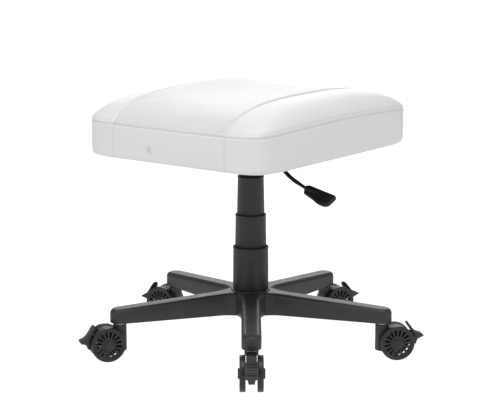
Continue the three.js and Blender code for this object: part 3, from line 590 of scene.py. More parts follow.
def path_tree():
    """A small piece set along edges at an even pitch, its +X along the path."""
    inputs = {"Pitch": "Float", "Item": "Object", "Finish": "Material"}
    tree = Tree("along_path", inputs)
    curve = tree.add("GeometryNodeMeshToCurve", Mesh=tree.given("Geometry"))
    even = tree.add(
        "GeometryNodeResampleCurve", {"mode": "LENGTH"}, Curve=curve, Length=tree.given("Pitch"),
    )
    item = tree.add("GeometryNodeObjectInfo", output=4, Object=tree.given("Item"))
    facing = tree.add("GeometryNodeInputNamedAttribute", {"data_type": "FLOAT_VECTOR"}, Name="facing")
    tangent = tree.add("GeometryNodeInputTangent")
    upright = tree.add("FunctionNodeAlignRotationToVector", {"axis": "Z"}, Vector=facing)
    turned_on = tree.add(
        "FunctionNodeAlignRotationToVector", {"axis": "X", "pivot_axis": "Z"},
        Rotation=upright, Vector=tangent,
    )
    copies = tree.add("GeometryNodeInstanceOnPoints", Points=even, Instance=item, Rotation=turned_on)
    tree.give(copies, tree.given("Finish"))
    return tree


around, along = radial_tree(), path_tree()


def set_along(name, path, facing, item, pitch, finish, loop=True):
    """Copies of item along a path of points, each facing its own way out of the surface."""
    mesh = bpy.data.meshes.new(name)
    count = len(path)
    edges = [(index, (index + 1) % count) for index in range(count if loop else count - 1)]
    mesh.from_pydata([tuple(point) for point in path], edges, [])
    out = mesh.attributes.new("facing", "FLOAT_VECTOR", "POINT")
    out.data.foreach_set("vector", np.array([tuple(way) for way in facing]).ravel())
    row = bpy.data.objects.new(name, mesh)
    scene.collection.objects.link(row)
    along.run(row, Pitch=pitch, Item=item, Finish=finish)
    row.data.shade_smooth()
    row.data.set_sharp_from_angle(angle=math.radians(50))
    return row


print("node trees:", around.tree.name, along.tree.name)

# %% [markdown]
# ## The cushion
#
# The seat is a block of foam on a board, under a sewn cover of five panels: a narrow band
# round the side, two plump bolsters along the sides, and between them a middle panel
# that sinks like a shallow saddle. The cover falls away towards the front and the back.
#
# A cloth simulation gives sewn fabric its life: stitched lines hold still, and the skin
# between them swells and wrinkles a little. It needs a mesh whose edges already run
# along the seams, so the cushion starts as a grid laid over a rounded square. The grid's
# lines crowd together near the seams and the rim, where the shape turns quickly.

# %% The cushion's shape as a rule
SQUARENESS = 10          # exponent of the rounded-square outline
SEAM_RISE = 59 * MM      # underside to the top seam
CROWN = 46.5 * MM        # top seam to the top of the bolsters
SADDLE = 15 * MM         # how far the middle panel sinks
SADDLE_HALF = 95 * MM
PANEL_SEAM = 117 * MM    # middle of the seat to the seam between panel and bolster
EDGE_ROUND = 7 * MM


def share_out(x, y):
    """0 at the middle of the seat and 1 on its outline."""
    return (abs(x / HALF_WIDTH) ** SQUARENESS + abs(y / HALF_DEPTH) ** SQUARENESS) ** (1 / SQUARENESS)


def plan_point(u, v):
    """Bends a square grid so that its border becomes the rounded outline."""
    reach = max(abs(u), abs(v))
    if reach < 1e-9:
        return 0.0, 0.0
    pull = (abs(u / reach) ** SQUARENESS + abs(v / reach) ** SQUARENESS) ** (-1 / SQUARENESS)
    scale = 1 - reach ** 6 * (1 - pull)
    return u * HALF_WIDTH * scale, v * HALF_DEPTH * scale


def seam_height(x, y):
    """The top seam arches along the two bolster sides and dips across the front."""
    side = abs(x / HALF_WIDTH) ** 8
    end = abs(y / HALF_DEPTH) ** 8
    arch = 6 * MM * side * (1 - (y / HALF_DEPTH) ** 2)
    dip = 1.5 * MM * end * (1 - (x / HALF_WIDTH) ** 2)
    return SEAT_BOTTOM + SEAM_RISE + arch - dip


def crown_height(x, y):
    share = min(share_out(x, y), 1)
    plump = max(1 - abs(x / HALF_WIDTH) ** 6, 0) ** 0.4
    fall = max(1 - abs(y / HALF_DEPTH) ** 3, 0)
    rise = CROWN * plump * fall ** 0.55 * (1 - share ** 20) ** 0.35
    sink = SADDLE * math.exp(-((x / SADDLE_HALF) ** 4)) * fall
    return rise - sink


def top_height(x, y):
    return seam_height(x, y) + crown_height(x, y)


def crowded(half, pitch, marks):
    """Grid lines from -1 to 1, with extra ones close to the rim and to each mark."""
    lines = {round(value, 6) for value in np.linspace(-1, 1, 2 * round(half / pitch) + 1)}
    rim = [1 - step * MM / half for step in (0.8, 2.0, 3.6, 6.0, 9.5)]
    close = [mark / half + step * MM / half for mark in marks for step in (-3.2, -1.4, 0, 1.4, 3.2)]
    fixed = sorted({round(sign * value, 6) for value in rim + close for sign in (-1, 1)})
    room = 2.6 * MM / half
    clear = {value for value in lines if abs(value) == 1 or min(abs(value - f) for f in fixed) > room}
    return sorted(clear | set(fixed))


across = crowded(HALF_WIDTH, 7.5 * MM, [PANEL_SEAM])
lengthways = crowded(HALF_DEPTH, 7.5 * MM, [])
print("grid of", len(across), "by", len(lengthways), "lines")

# %% A closed grid over the whole cushion
def cushion_grid(inset=0.0):
    """Top, side band and underside as one closed mesh. Returns points and faces."""
    columns, rows = len(across), len(lengthways)
    points, faces = [], []

    def sheet(height, flip, shrink):
        start = len(points)
        for v in lengthways:
            for u in across:
                x, y = plan_point(u, v)
                points.append((x * shrink, y * shrink, height(x, y)))
        for row in range(rows - 1):
            for column in range(columns - 1):
                a = start + row * columns + column
                quad = (a, a + 1, a + columns + 1, a + columns)
                faces.append(quad[::-1] if flip else quad)
        bottom = [start + column for column in range(columns)]
        right = [start + row * columns + columns - 1 for row in range(1, rows)]
        top = [start + (rows - 1) * columns + column for column in range(columns - 2, -1, -1)]
        left = [start + row * columns for row in range(rows - 2, 0, -1)]
        return bottom + right + top + left

    foot = 1 - (EDGE_ROUND + inset) / HALF_WIDTH
    shrink = 1 - inset / HALF_WIDTH
    upper = sheet(lambda x, y: top_height(x, y) - inset, False, shrink)
    lower = sheet(lambda x, y: SEAT_BOTTOM + inset, True, foot)
    rim = [points[index] for index in upper]
    band = [upper]
    drops = [0.02, 0.05, 0.1, 0.2, 0.32, 0.44, 0.56, 0.68, 0.78]     # closer just under the seam
    for drop in drops:
        ring = []
        for x, y, top in rim:
            level = top + (SEAT_BOTTOM + EDGE_ROUND + inset - top) * (drop / drops[-1])
            ring.append(len(points))
            points.append((x, y, level))
        band.append(ring)
    for angle in (30, 60):
        turn = math.radians(angle)
        ring = []
        for x, y, _ in rim:
            back = EDGE_ROUND * (1 - math.cos(turn)) / HALF_WIDTH
            level = SEAT_BOTTOM + inset + EDGE_ROUND * (1 - math.sin(turn))
            ring.append(len(points))
            points.append((x * (1 - back), y * (1 - back), level))
        band.append(ring)
    band.append(lower)
    for high, low in zip(band, band[1:]):
        for index in range(len(high)):
            after = (index + 1) % len(high)
            faces.append((high[index], low[index], low[after], high[after]))
    return points, faces


points, faces = cushion_grid()
cushion = new_piece("cushion_cover", points, faces, leather, 180)
print("cushion grid:", len(points), "points", len(faces), "faces")

# %% [markdown]
# ### Letting the cover swell
#
# The stitched lines are pinned: the top seam, the two panel seams, the upright seams on
# the band and everything under the edge. Air pressure then pushes the free skin out.
# Gravity is off, because foam carries the cover. The swelling is capped, so no point
# leaves the place that the frame keeps for the seat by more than a few millimetres.

# %% Simulate, cap and keep the result
SWELL_CAP = 4.5 * MM
FRAMES = 16


def on_stitched_line(x, y, z):
    on_rim = abs(z - seam_height(x, y)) < 0.4 * MM and share_out(x, y) > 0.995
    sewn = z > SEAT_BOTTOM + SEAM_RISE or abs(y) > 0.99 * HALF_DEPTH
    on_panel = abs(abs(x) - PANEL_SEAM) < 0.3 * MM and sewn
    return on_rim or on_panel or z < SEAT_BOTTOM + 0.6 * EDGE_ROUND


def swell(piece):
    start = np.array([tuple(vertex.co) for vertex in piece.data.vertices])
    pins = piece.vertex_groups.new(name="stitched")
    pins.add([index for index, point in enumerate(start) if on_stitched_line(*point)], 1.0, "REPLACE")
    cloth = piece.modifiers.new("cloth", "CLOTH")
    settings = cloth.settings
    settings.vertex_group_mass = "stitched"
    settings.use_pressure = True
    settings.uniform_pressure_force = 3.0
    settings.effector_weights.gravity = 0.0
    settings.quality = 6
    settings.mass = 0.3
    settings.tension_stiffness = 12
    settings.compression_stiffness = 12
    settings.bending_stiffness = 0.6
    cloth.point_cache.frame_start, cloth.point_cache.frame_end = 1, FRAMES
    for number in range(1, FRAMES + 1):
        scene.frame_set(number)
    settle(piece)
    scene.frame_set(1)
    moved = np.array([tuple(vertex.co) for vertex in piece.data.vertices]) - start
    length = np.linalg.norm(moved, axis=1)
    scale = np.where(length > SWELL_CAP, SWELL_CAP / np.maximum(length, 1e-9), 1)
    kept = start + moved * scale[:, None]
    piece.data.vertices.foreach_set("co", kept.ravel())
    piece.vertex_groups.clear()
    return float(length.max())


print("largest swelling", round(swell(cushion) / MM, 2), "mm before the cap")

# %% [markdown]
# ### Seams, gathers and a soft underside
#
# A smooth subdivision turns the grid into skin. Seams come after it: each one pulls the
# cover in by about a millimetre along a line two or three millimetres wide, with a
# raised lip beside it where the allowance is folded under. At the four corners the band
# has to turn sharply, so the leather gathers in short folds under the seam. The cover is
# cut open underneath, where it is folded under the board, and given its own thickness.

# %% Sew the seams into the skin
FOLD_UNDER = 34 * MM
COVER = 1.2 * MM
corner_x = HALF_WIDTH * 2 ** (-1 / SQUARENESS)
corner_y = HALF_DEPTH * 2 ** (-1 / SQUARENESS)


def groove(distance, depth, half):
    """A rounded furrow with low lips, as a seam draws the skin in."""
    ratio = distance / half
    return -depth * math.exp(-ratio ** 2) + 0.28 * depth * math.exp(-((ratio - 2.1) ** 2))


def seam_pull(x, y, z):
    """How far the skin moves along its normal, and how near a seam it is."""
    share = share_out(x, y)
    seam = seam_height(x, y)
    rim_gap = math.hypot(z - seam, (1 - share) * HALF_WIDTH)
    move = groove(rim_gap, 1.3 * MM, 1.7 * MM)
    near = math.exp(-((rim_gap / (1.6 * MM)) ** 2))
    if z > seam - 1 * MM:
        stitch_line = abs(rim_gap - 6.5 * MM)
        move -= 0.5 * MM * math.exp(-((stitch_line / (1.3 * MM)) ** 2))
        near += 0.35 * math.exp(-((stitch_line / (1.0 * MM)) ** 2))
        panel_gap = abs(abs(x) - PANEL_SEAM)
        move += groove(panel_gap, 1.5 * MM, 2.0 * MM)
        near += 0.6 * math.exp(-((panel_gap / (1.3 * MM)) ** 2))
    elif abs(y) > 0.985 * HALF_DEPTH and z > SEAT_BOTTOM + 2 * MM:
        upright_gap = abs(abs(x) - PANEL_SEAM)
        move += groove(upright_gap, 1.2 * MM, 1.6 * MM)
        near += 0.8 * math.exp(-((upright_gap / (1.2 * MM)) ** 2))
    return move, min(near, 1)


def gathers(x, y, z):
    """Short folds fanned round each corner, strongest just at the seam."""
    away = math.hypot(abs(x) - corner_x, abs(y) - corner_y)
    if away > 90 * MM:
        return 0.0
    drop = z - seam_height(x, y)
    along_rim = (abs(x) - corner_x) - (abs(y) - corner_y)
    fan = math.sin(along_rim / (3.1 * MM) + 1.3 * math.sin(along_rim / (11 * MM)))
    reach = 15 * MM if drop < 0 else 11 * MM
    return 0.55 * MM * fan * math.exp(-((away / (30 * MM)) ** 2)) * math.exp(-abs(drop) / reach)


def slack(x, y, z):
    """Long low ripples that the skin keeps where it is pulled towards the corners."""
    swing = math.sin(x / (23 * MM) + 2.1 * math.sin(y / (61 * MM)))
    lull = math.sin(y / (37 * MM) + 1.7 * math.sin(x / (47 * MM)))
    return 0.35 * MM * swing * lull


def dimple(x, y, z):
    """One spot low on the front band where a tack holds the cover to the board's edge."""
    gap = math.dist((x, y, z), (-38 * MM, -HALF_DEPTH, SEAT_BOTTOM + 23 * MM))
    return math.exp(-((gap / (5 * MM)) ** 2))


def finish_cushion(piece):
    smooth = piece.modifiers.new("skin", "SUBSURF")
    smooth.levels = smooth.render_levels = 1
    settle(piece)
    mesh = piece.data
    count = len(mesh.vertices)
    places, normals = np.empty(count * 3), np.empty(count * 3)
    mesh.vertices.foreach_get("co", places)
    mesh.vertex_normals.foreach_get("vector", normals)
    places, normals = places.reshape(-1, 3), normals.reshape(-1, 3)
    seam, panel, spot = np.zeros(count), np.zeros(count), np.zeros(count)
    for index, (x, y, z) in enumerate(places):
        if z < SEAT_BOTTOM + 1.5 * MM:
            continue
        move, seam[index] = seam_pull(x, y, z)
        spot[index] = dimple(x, y, z)
        move += gathers(x, y, z) + slack(x, y, z) - 1.4 * MM * spot[index]
        places[index] += normals[index] * move
        inside = abs(x) < PANEL_SEAM and (z > seam_height(x, y) - 0.3 * MM)
        panel[index] = 1.0 if inside else 0.0
    mesh.vertices.foreach_set("co", places.ravel())
    for name, values in (("seam", seam), ("panel", panel), ("spot", spot)):
        painted = mesh.attributes.new(name, "FLOAT", "POINT")
        painted.data.foreach_set("value", values.astype(np.float32))


def open_underside(piece):
    work = bmesh.new()
    work.from_mesh(piece.data)
    edge = 1 - FOLD_UNDER / HALF_WIDTH
    under = [
        face for face in work.faces
        if all(v.co.z < SEAT_BOTTOM + 1 * MM and share_out(v.co.x, v.co.y) < edge for v in face.verts)
    ]
    bmesh.ops.delete(work, geom=under, context="FACES")
    work.to_mesh(piece.data)
    work.free()
    wall = piece.modifiers.new("cover", "SOLIDIFY")
    wall.thickness = COVER
    wall.offset = -1
    settle(piece)
    piece.data.shade_smooth()


finish_cushion(cushion)
open_underside(cushion)
skin = BVHTree.FromObject(cushion, bpy.context.evaluated_depsgraph_get())
print("cushion skin:", len(cushion.data.vertices), "points")

# %% [markdown]
# ### Top stitching
#
# A second row of thread holds the seam allowance down, a few millimetres inside the rim,
# and another pair runs beside each panel seam. Each stitch is a tiny flattened bead. The
# path of a row is found by dropping plan points straight down onto the finished skin, so
# the thread follows every swell, and the path tree then sets the beads at a fixed pitch.

# %% Thread along the rim and the panel seams
def thread_bead():
    """One stitch along +X, 3.2 mm long and barely raised."""
    sizes = [(-1.0, 0.25), (-0.72, 0.8), (0, 1.0), (0.72, 0.8), (1.0, 0.25)]
    rings = []
    for along_x, width in sizes:
        angles = [math.radians(60 * step) for step in range(6)]
        rings.append([
            (1.6 * MM * along_x, 0.42 * MM * width * math.cos(a), 0.36 * MM * width * math.sin(a))
            for a in angles
        ])
    return ring_stack("stitch_bead", rings, thread, 80)


def drop_onto_skin(plan):
    """Plan points projected down onto the cushion, with the skin's own normals."""
    path, facing = [], []
    for x, y in plan:
        hit, normal, _, _ = skin.ray_cast(Vector((x, y, 1.0)), Vector((0, 0, -1)))
        if hit is not None:
            path.append(hit + normal * 0.12 * MM)
            facing.append(normal)
    return path, facing


def rim_plan(inset, count=420):
    plan = []
    for step in range(count):
        angle = 2 * math.pi * step / count
        circle = (math.cos(angle), math.sin(angle))
        spread = [math.copysign(abs(v) ** (2 / SQUARENESS), v) for v in circle]
        plan.append((spread[0] * (HALF_WIDTH - inset), spread[1] * (HALF_DEPTH - inset)))
    return plan


STITCH_PITCH = 4.4 * MM
bead = thread_bead()
rows = []
path, facing = drop_onto_skin(rim_plan(2.4 * MM))
rows.append(set_along("rim_stitches", path, facing, bead, STITCH_PITCH, thread))
ends = HALF_DEPTH - 7 * MM
for side in (-1, 1):
    for offset in (-3.4, 3.4):
        line = [(side * (PANEL_SEAM + offset * MM), y) for y in np.linspace(-ends, ends, 160)]
        path, facing = drop_onto_skin(line)
        name = f"panel_stitches_{len(rows)}"
        rows.append(set_along(name, path, facing, bead, STITCH_PITCH, thread, False))
stitches = joined("cushion_stitches", *rows)
bpy.data.objects.remove(bead)
for piece in (cushion, stitches):
    carry(piece, onto_seat)
hand_over(cushion, "seat", "white_leather", "seat_cover")
hand_over(stitches, "seat", "white_leather")
print("stitches:", len(stitches.data.polygons), "faces")

# %% [markdown]
# ### The foam inside
#
# The foam is never seen on a finished stool, but it belongs to the assembly. It is the
# same shape drawn in by six millimetres, standing on the board.

# %% Foam block
def foam_block():
    board_top = float(seat_size("seat_foam")[0][2])
    points, faces = cushion_grid(6 * MM)
    lifted = [(x * 0.985, y * 0.985, max(z, board_top)) for x, y, z in points]
    block = new_piece("cushion_foam", lifted, faces, foam, 60)
    carry(block, onto_seat)
    hand_over(block, "seat", "foam", "seat_foam")
    return block


block = foam_block()
print("foam:", len(block.data.polygons), "faces")

# %% [markdown]
# ## Under the seat: lining, staples, plate and bracket
#
# A thin black lining closes the underside. It is stretched over the folded edge of the
# cover and stapled, so it hangs a hair lower between the staples and lies flat under the
# steel plate. It is a sheet of cloth, so it is modelled as one: a fine grid on the same
# rounded outline, given the thickness of felt.

# %% Lining
LINING_X, LINING_Y, LINING_TOP = (float(size) for size in seat_size("dust_cover")[1])
PLATE_X, PLATE_Y, _ = seat_size("seat_plate")[1]
STAPLE_INSET = 7 * MM
STAPLE_PITCH = 36 * MM


def lining_sag(x, y, share):
    """The lining droops between its staples and is held up by the plate."""
    outside_plate = max(abs(x) - PLATE_X, abs(y) - PLATE_Y, 0) / (40 * MM)
    free = min(outside_plate, 1) * (1 - share ** 6)
    ripple = 0.5 + 0.25 * math.sin(x / (14 * MM)) * math.sin(y / (19 * MM))
    return 1.6 * MM * free * ripple


def make_lining():
    steps = 44
    lines = np.linspace(-1, 1, steps + 1)
    points, faces = [], []
    for v in lines:
        for u in lines:
            reach = max(abs(u), abs(v))
            x, y = plan_point(u, v)
            x, y = x * LINING_X / HALF_WIDTH, y * LINING_Y / HALF_DEPTH
            points.append((x, y, LINING_TOP - lining_sag(x, y, reach)))
    for row in range(steps):
        for column in range(steps):
            a = row * (steps + 1) + column
            faces.append((a, a + steps + 1, a + steps + 2, a + 1))
    cloth = bpy.data.meshes.new("seat_lining")
    cloth.from_pydata(points, [], faces)
    cloth.materials.append(lining)
    piece = bpy.data.objects.new("seat_lining", cloth)
    scene.collection.objects.link(piece)
    wall = piece.modifiers.new("felt", "SOLIDIFY")
    wall.thickness = 0.5 * MM
    wall.offset = 1
    settle(piece)
    piece.data.shade_smooth()
    carry(piece, onto_seat)
    hand_over(piece, "seat", "black_cloth", "dust_cover")


make_lining()

# %% Staples round the lining
def staple_wire():
    """A staple's crown along +X, 10 mm wide, with its shoulders just turned in."""
    half, wire = 5 * MM, 0.35 * MM
    leg, shoulder = -0.5 * MM, 0.3 * MM
    outline = [
        (-half, leg), (-half, shoulder), (-half + wire, wire),
        (half - wire, wire), (half, shoulder), (half, leg),
    ]
    return side_part("staple_wire", outline, 0.55 * MM, zinc_steel, 60)


def staple_row():
    plan = rim_plan(0, 360)
    sx, sy = (LINING_X - STAPLE_INSET) / HALF_WIDTH, (LINING_Y - STAPLE_INSET) / HALF_DEPTH
    path = [Vector((x * sx, y * sy, LINING_TOP - 0.75 * MM)) for x, y in plan]
    facing = [Vector((0, 0, -1))] * len(path)
    wire = staple_wire()
    row = set_along("lining_staples", path, facing, wire, STAPLE_PITCH, zinc_steel)
    bpy.data.objects.remove(wire)
    carry(row, onto_seat)
    hand_over(row, "seat", "zinc_steel")
    print("staples:", len(row.data.polygons), "faces")


staple_row()

# %% [markdown]
# ### Pressed and machined steel
#
# The frame's plate, bracket, bolts and nuts already have their true outlines and holes.
# What they lack is what a press or a lathe leaves: edges that are never knife-sharp. A
# copy of each is merged into clean flat faces and its edges are rolled over by a few
# tenths of a millimetre. The plate also gets the weld beads that hold the bracket to it.

# %% Roll over the edges of the frame's steel pieces
def softened(node, name, width, body, slot):
    work = bmesh.new()
    work.from_mesh(frame["nodes"][node].data)
    bmesh.ops.remove_doubles(work, verts=work.verts, dist=1e-6)
    bmesh.ops.dissolve_limit(work, angle_limit=math.radians(1), verts=work.verts, edges=work.edges)
    mesh = bpy.data.meshes.new(name)
    work.to_mesh(mesh)
    work.free()
    mesh.materials.clear()
    mesh.materials.append(finishes[slot])
    piece = bpy.data.objects.new(name, mesh)
    scene.collection.objects.link(piece)
    rounded(piece, width, 2, 35)
    hand_over(piece, body, slot, node)
    return piece


steel_pieces = {
    "seat_plate": ("mounting_plate", 0.6, "seat", "black_steel"),
    "lever_bracket": ("bracket_channel", 0.5, "seat", "black_steel"),
    "lever_pivot_pin": ("pivot_pin", 0.25, "seat", "zinc_steel"),
    "retaining_clip": ("rod_clip", 0.2, "lift_rod", "zinc_steel"),
}
for number in range(1, 5):
    steel_pieces[f"seat_bolt_{number}"] = (f"hex_bolt_{number}", 0.35, "seat", "zinc_steel")
    steel_pieces[f"t_nut_{number}"] = (f"tee_nut_{number}", 0.15, "seat", "zinc_steel")
for node, (name, width, body, slot) in steel_pieces.items():
    softened(node, name, width * MM, body, slot)
print(len(steel_pieces), "steel pieces rounded over")

# %% Weld beads between bracket and plate
def weld_beads():
    low, high = seat_size("lever_bracket")
    beads = []
    for side in (low[1], high[1]):
        path = []
        for step in range(41):
            x = low[0] + 6 * MM + (high[0] - low[0] - 12 * MM) * step / 40
            path.append((x, side + math.copysign(0.4 * MM, side), high[2] - 0.4 * MM))
        bead_row = bent_rod("bead", path, 1.5 * MM, black_steel, 10)
        for vertex in bead_row.data.vertices:
            scallop = 1 + 0.16 * math.sin(vertex.co.x / (1.1 * MM))
            vertex.co.z = high[2] - 0.4 * MM + (vertex.co.z - high[2] + 0.4 * MM) * scallop
        beads.append(bead_row)
    welds = joined("bracket_welds", *beads)
    carry(welds, onto_seat)
    hand_over(welds, "seat", "black_steel")


weld_beads()
print("welds laid along both flanges")

# %% [markdown]
# ## The height lever
#
# A bent black rod lies over the release button inside the bracket. It drops in two bends
# towards the front right of the seat and ends in a moulded paddle, thicker at the socket and widening
# to a thumb-shaped blade with a shallow recess. The rod is a circle carried along its
# bent line; the paddle is a flat outline with well-rounded edges, and the recess is cut
# out of its face.

# %% Lever rod
LEVER_RADIUS = 3.5 * MM
LEVER_LINE = float(seat_size("lever_rod")[1][2]) - LEVER_RADIUS
LEVER_END, LEVER_DROP = 118 * MM, 43 * MM
LEVER_BENDS = [(50 * MM, 0), (86 * MM, 29 * MM)]     # from the column, below the level part
PADDLE_SOCKET = 13 * MM


def bezier(start, bend, end, steps=8):
    """Points on a quadratic curve, without its first one."""
    points = []
    for step in range(1, steps + 1):
        t = step / steps
        shares = ((1 - t) ** 2, 2 * t * (1 - t), t * t)
        points.append(tuple(sum(s * v for s, v in zip(shares, row)) for row in zip(start, bend, end)))
    return points


def lever_line(start, end):
    """Level over the button, then two rounded bends: steeply down, and outwards again."""
    run, drop = LEVER_END - LEVER_BENDS[1][0], LEVER_DROP - LEVER_BENDS[1][1]
    last = LEVER_BENDS[1][1] + (end - LEVER_BENDS[1][0]) * drop / run
    corners = [Vector((x, 0, LEVER_LINE - down)) for x, down in [(start, 0), *LEVER_BENDS, (end, last)]]
    curve = 11 * MM
    points = [corners[0]]
    for before, corner, after in zip(corners, corners[1:], corners[2:]):
        enter = corner + (before - corner).normalized() * curve
        leave = corner + (after - corner).normalized() * curve
        points.append(enter)
        points += [Vector(point) for point in bezier(enter, corner, leave, 10)]
    points.append(corners[-1])
    return [tuple(point) for point in points]


rod = bent_rod("lever_bar", lever_line(-7 * MM, LEVER_END + PADDLE_SOCKET), LEVER_RADIUS, black_steel, 24)
pin_low, pin_high = seat_size("lever_pivot_pin")
pivot_x, _, pivot_z = ((pin_low + pin_high) / 2).tolist()
hinge = turned("hinge_barrel", in_mm([(2.8, -15), (4.5, -15), (4.5, 15), (2.8, 15)]), black_steel, 32)
laid_across(hinge, pivot_x, pivot_z)
near, far, foot = pivot_x - 3.6 * MM, pivot_x + 3.6 * MM, pivot_z + 3.4 * MM
web_side = [(near, foot), (far, foot), (far, LEVER_LINE), (near, LEVER_LINE)]
web = side_part("hinge_web", web_side, 1.5 * MM, black_steel)
rounded(hinge, 0.4 * MM)
lever = joined("height_lever", rod, hinge, web)
carry(lever, onto_seat)
hand_over(lever, "lever", "black_steel", "lever_rod")
print("lever reaches", round(LEVER_END / MM), "mm from the column")

# %% Paddle
def paddle_outline(length, straight, wide, above, below):
    """Seen on its broad face: a straight upper edge and a bulged lower one."""
    points = [(0, above), (length * 0.5, (above + straight) / 2), (length - 6, straight)]
    points += bezier(points[-1], (length, straight), (length, straight - 6))
    points += bezier(points[-1], (length - 1, -5), (length - 3, -wide * 0.62))
    points += bezier(points[-1], (length - 6, -wide), (length - 18, -wide))
    points += bezier(points[-1], (length - 28, -wide), (length * 0.42, -wide * 0.84))
    points += bezier(points[-1], (length * 0.2, -below - 2), (0, -below), 3)
    return in_mm(reversed(points))


def recess_outline():
    """A rounded oblong over the thumb's place."""
    points = []
    for step in range(40):
        turn = 2 * math.pi * step / 40
        along_blade, across_blade = math.cos(turn), math.sin(turn)
        x = 36 + 14.5 * math.copysign(abs(along_blade) ** 0.7, along_blade)
        y = -3.2 + 7.2 * math.copysign(abs(across_blade) ** 0.8, across_blade)
        points.append((x * MM, y * MM))
    return points


def make_paddle():
    half = 3.5 * MM
    outline = paddle_outline(length=58, straight=9.7, wide=17, above=7.5, below=10)
    blade = flat_part("paddle_blade", outline, -half, half, paddle_plastic)
    rounded(blade, 2.4 * MM, 4, 40)
    grip_side = [(0.01, -2), (4.9, -2), (5.7, -1.2), (5.7, 8), (4.4, 19), (2.0, 24), (0.01, 24.5)]
    grip = turned("paddle_grip", in_mm(grip_side), paddle_plastic, 40)
    carry(grip, Matrix.Rotation(math.pi / 2, 4, "Y"))
    combine(blade, "UNION", grip)
    tool = flat_part("recess_tool", recess_outline(), half - 1.3 * MM, half + 4 * MM, paddle_plastic)
    combine(blade, "DIFFERENCE", tool)
    rounded(blade, 0.45 * MM, 2, 50)
    blade.name = "lever_grip"
    slope = Matrix.Rotation(math.radians(15), 4, "Y")
    roll = Matrix.Rotation(math.radians(45), 4, "X")
    rod_end = Matrix.Translation((LEVER_END, 0, LEVER_LINE - LEVER_DROP))
    carry(blade, rod_end @ slope @ roll)
    carry(blade, onto_seat)
    hand_over(blade, "lever", "paddle_plastic", "lever_paddle")
    print("paddle:", len(blade.data.polygons), "faces")


make_paddle()

# %% [markdown]
# ## The column
#
# Three tapered sleeves hide the gas lift. They slide into each other as the seat comes
# down: the top one hangs from the cylinder, the bottom one stands on the hub, and the
# middle one floats at half the travel. Each is a thin injection-moulded shell with a
# raised bead round its mouth. All three are one profile spun about the column's axis.

# %% Sleeves
def level(node, which):
    """Height in millimetres of a node's lowest (0) or highest (1) point."""
    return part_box(node)[which].z / MM


def sleeve(name, node, foot, neck, throat=None):
    """Radii at the foot and at the neck, and of the hole in the top if it is closed."""
    bottom, top = level(node, 0), level(node, 1)
    bore, bead = neck - SLEEVE_WALL, neck + 0.6
    profile = [
        (foot - SLEEVE_WALL, bottom + 0.3), (foot - SLEEVE_WALL + 0.4, bottom), (foot - 0.4, bottom),
        (foot, bottom + 0.4), (neck, top - 3.4), (neck + 0.2, top - 3.0), (bead, top - 2.6),
        (bead, top - 0.6), (bead - 0.5, top),
    ]
    if throat:
        profile += [(throat + 0.3, top), (throat, top - 0.3), (throat, top - 1.8), (bore, top - 2.2)]
    else:
        profile += [(bore + 0.3, top), (bore, top - 0.4), (bore, top - 3)]
    piece = turned(name, in_mm(profile), sleeve_plastic, 96, 50)
    return carry(piece, Matrix.Translation(column))


SLEEVE_WALL = 1.6
upper = sleeve("sleeve_upper", "cover_upper", 24.2, 22.5, 14.3)
middle = sleeve("sleeve_middle", "cover_middle", 27.4, 26.4)
lower = sleeve("sleeve_lower", "cover_lower", 31.0, 30.6)
hand_over(upper, "seat", "cover_plastic", "cover_upper")
hand_over(middle, "middle_cover", "cover_plastic", "cover_middle")
hand_over(lower, "base", "cover_plastic", "cover_lower")
print("three sleeves on the column")

# %% [markdown]
# ### Gas lift
#
# Inside the sleeves a steel cylinder slides in a plastic bush at the mouth of the stand
# tube, on a chromed rod with a rubber bumper. The lift is mostly hidden, but the collar
# under the seat shows its cylinder and socket, so the turned pieces are spun again with
# enough sides to look round.

# %% Turned pieces of the lift
def spun_again(name, node, profile, body, slot):
    piece = turned(name, in_mm(profile), finishes[slot], 72, 40)
    carry(piece, Matrix.Translation(column))
    return hand_over(piece, body, slot, node)


foot, crest = level("socket_tube", 0), level("socket_tube", 1)
spun_again("lift_socket", "socket_tube", [
    (14.4, foot), (17.4, foot), (18, foot + 0.6), (18, crest - 0.4), (17.6, crest), (13.6, crest),
], "seat", "black_steel")
foot, crest = level("gas_cylinder", 0), level("gas_cylinder", 1)
spun_again("lift_cylinder", "gas_cylinder", [
    (4.3, foot), (13.2, foot), (14, foot + 1), (14, crest - 26), (13.3, crest - 0.6),
    (12.7, crest), (3.7, crest), (3.7, crest - 14), (8, crest - 20), (12, crest - 24),
    (12, foot + 10), (4.3, foot + 10),
], "seat", "black_steel")
foot, crest = level("guide_bush", 0), level("guide_bush", 1)
spun_again("guide_sleeve", "guide_bush", [
    (14.3, foot), (16.9, foot), (16.9, crest - 2.7), (18.7, crest - 2.7), (18.7, crest - 0.5),
    (18.2, crest), (14.3, crest),
], "base", "bush_plastic")
foot, crest = level("rubber_bumper", 0), level("rubber_bumper", 1)
spun_again("lift_bumper", "rubber_bumper", [
    (4.3, foot), (10, foot), (11, foot + 1), (10.2, (foot + crest) / 2), (11, crest - 1),
    (10, crest), (4.3, crest),
], "lift_rod", "black_rubber")
print("gas lift pieces spun")

# %% [markdown]
# ## The star base
#
# Five arms leave the hub like the spokes of a wheel. Each is a shell open underneath,
# with a flat-sided, round-topped section, a rounded tip over the caster's stem, and ribs
# across the hollow. The arm flares where it meets the hub, because a sharp inner corner
# in moulded nylon cracks. One arm is a stack of outlines: narrow at the foot, full at
# the side, and drawn in step by step over the top. The rule "five times round the
# centre" is a Geometry Nodes tree.

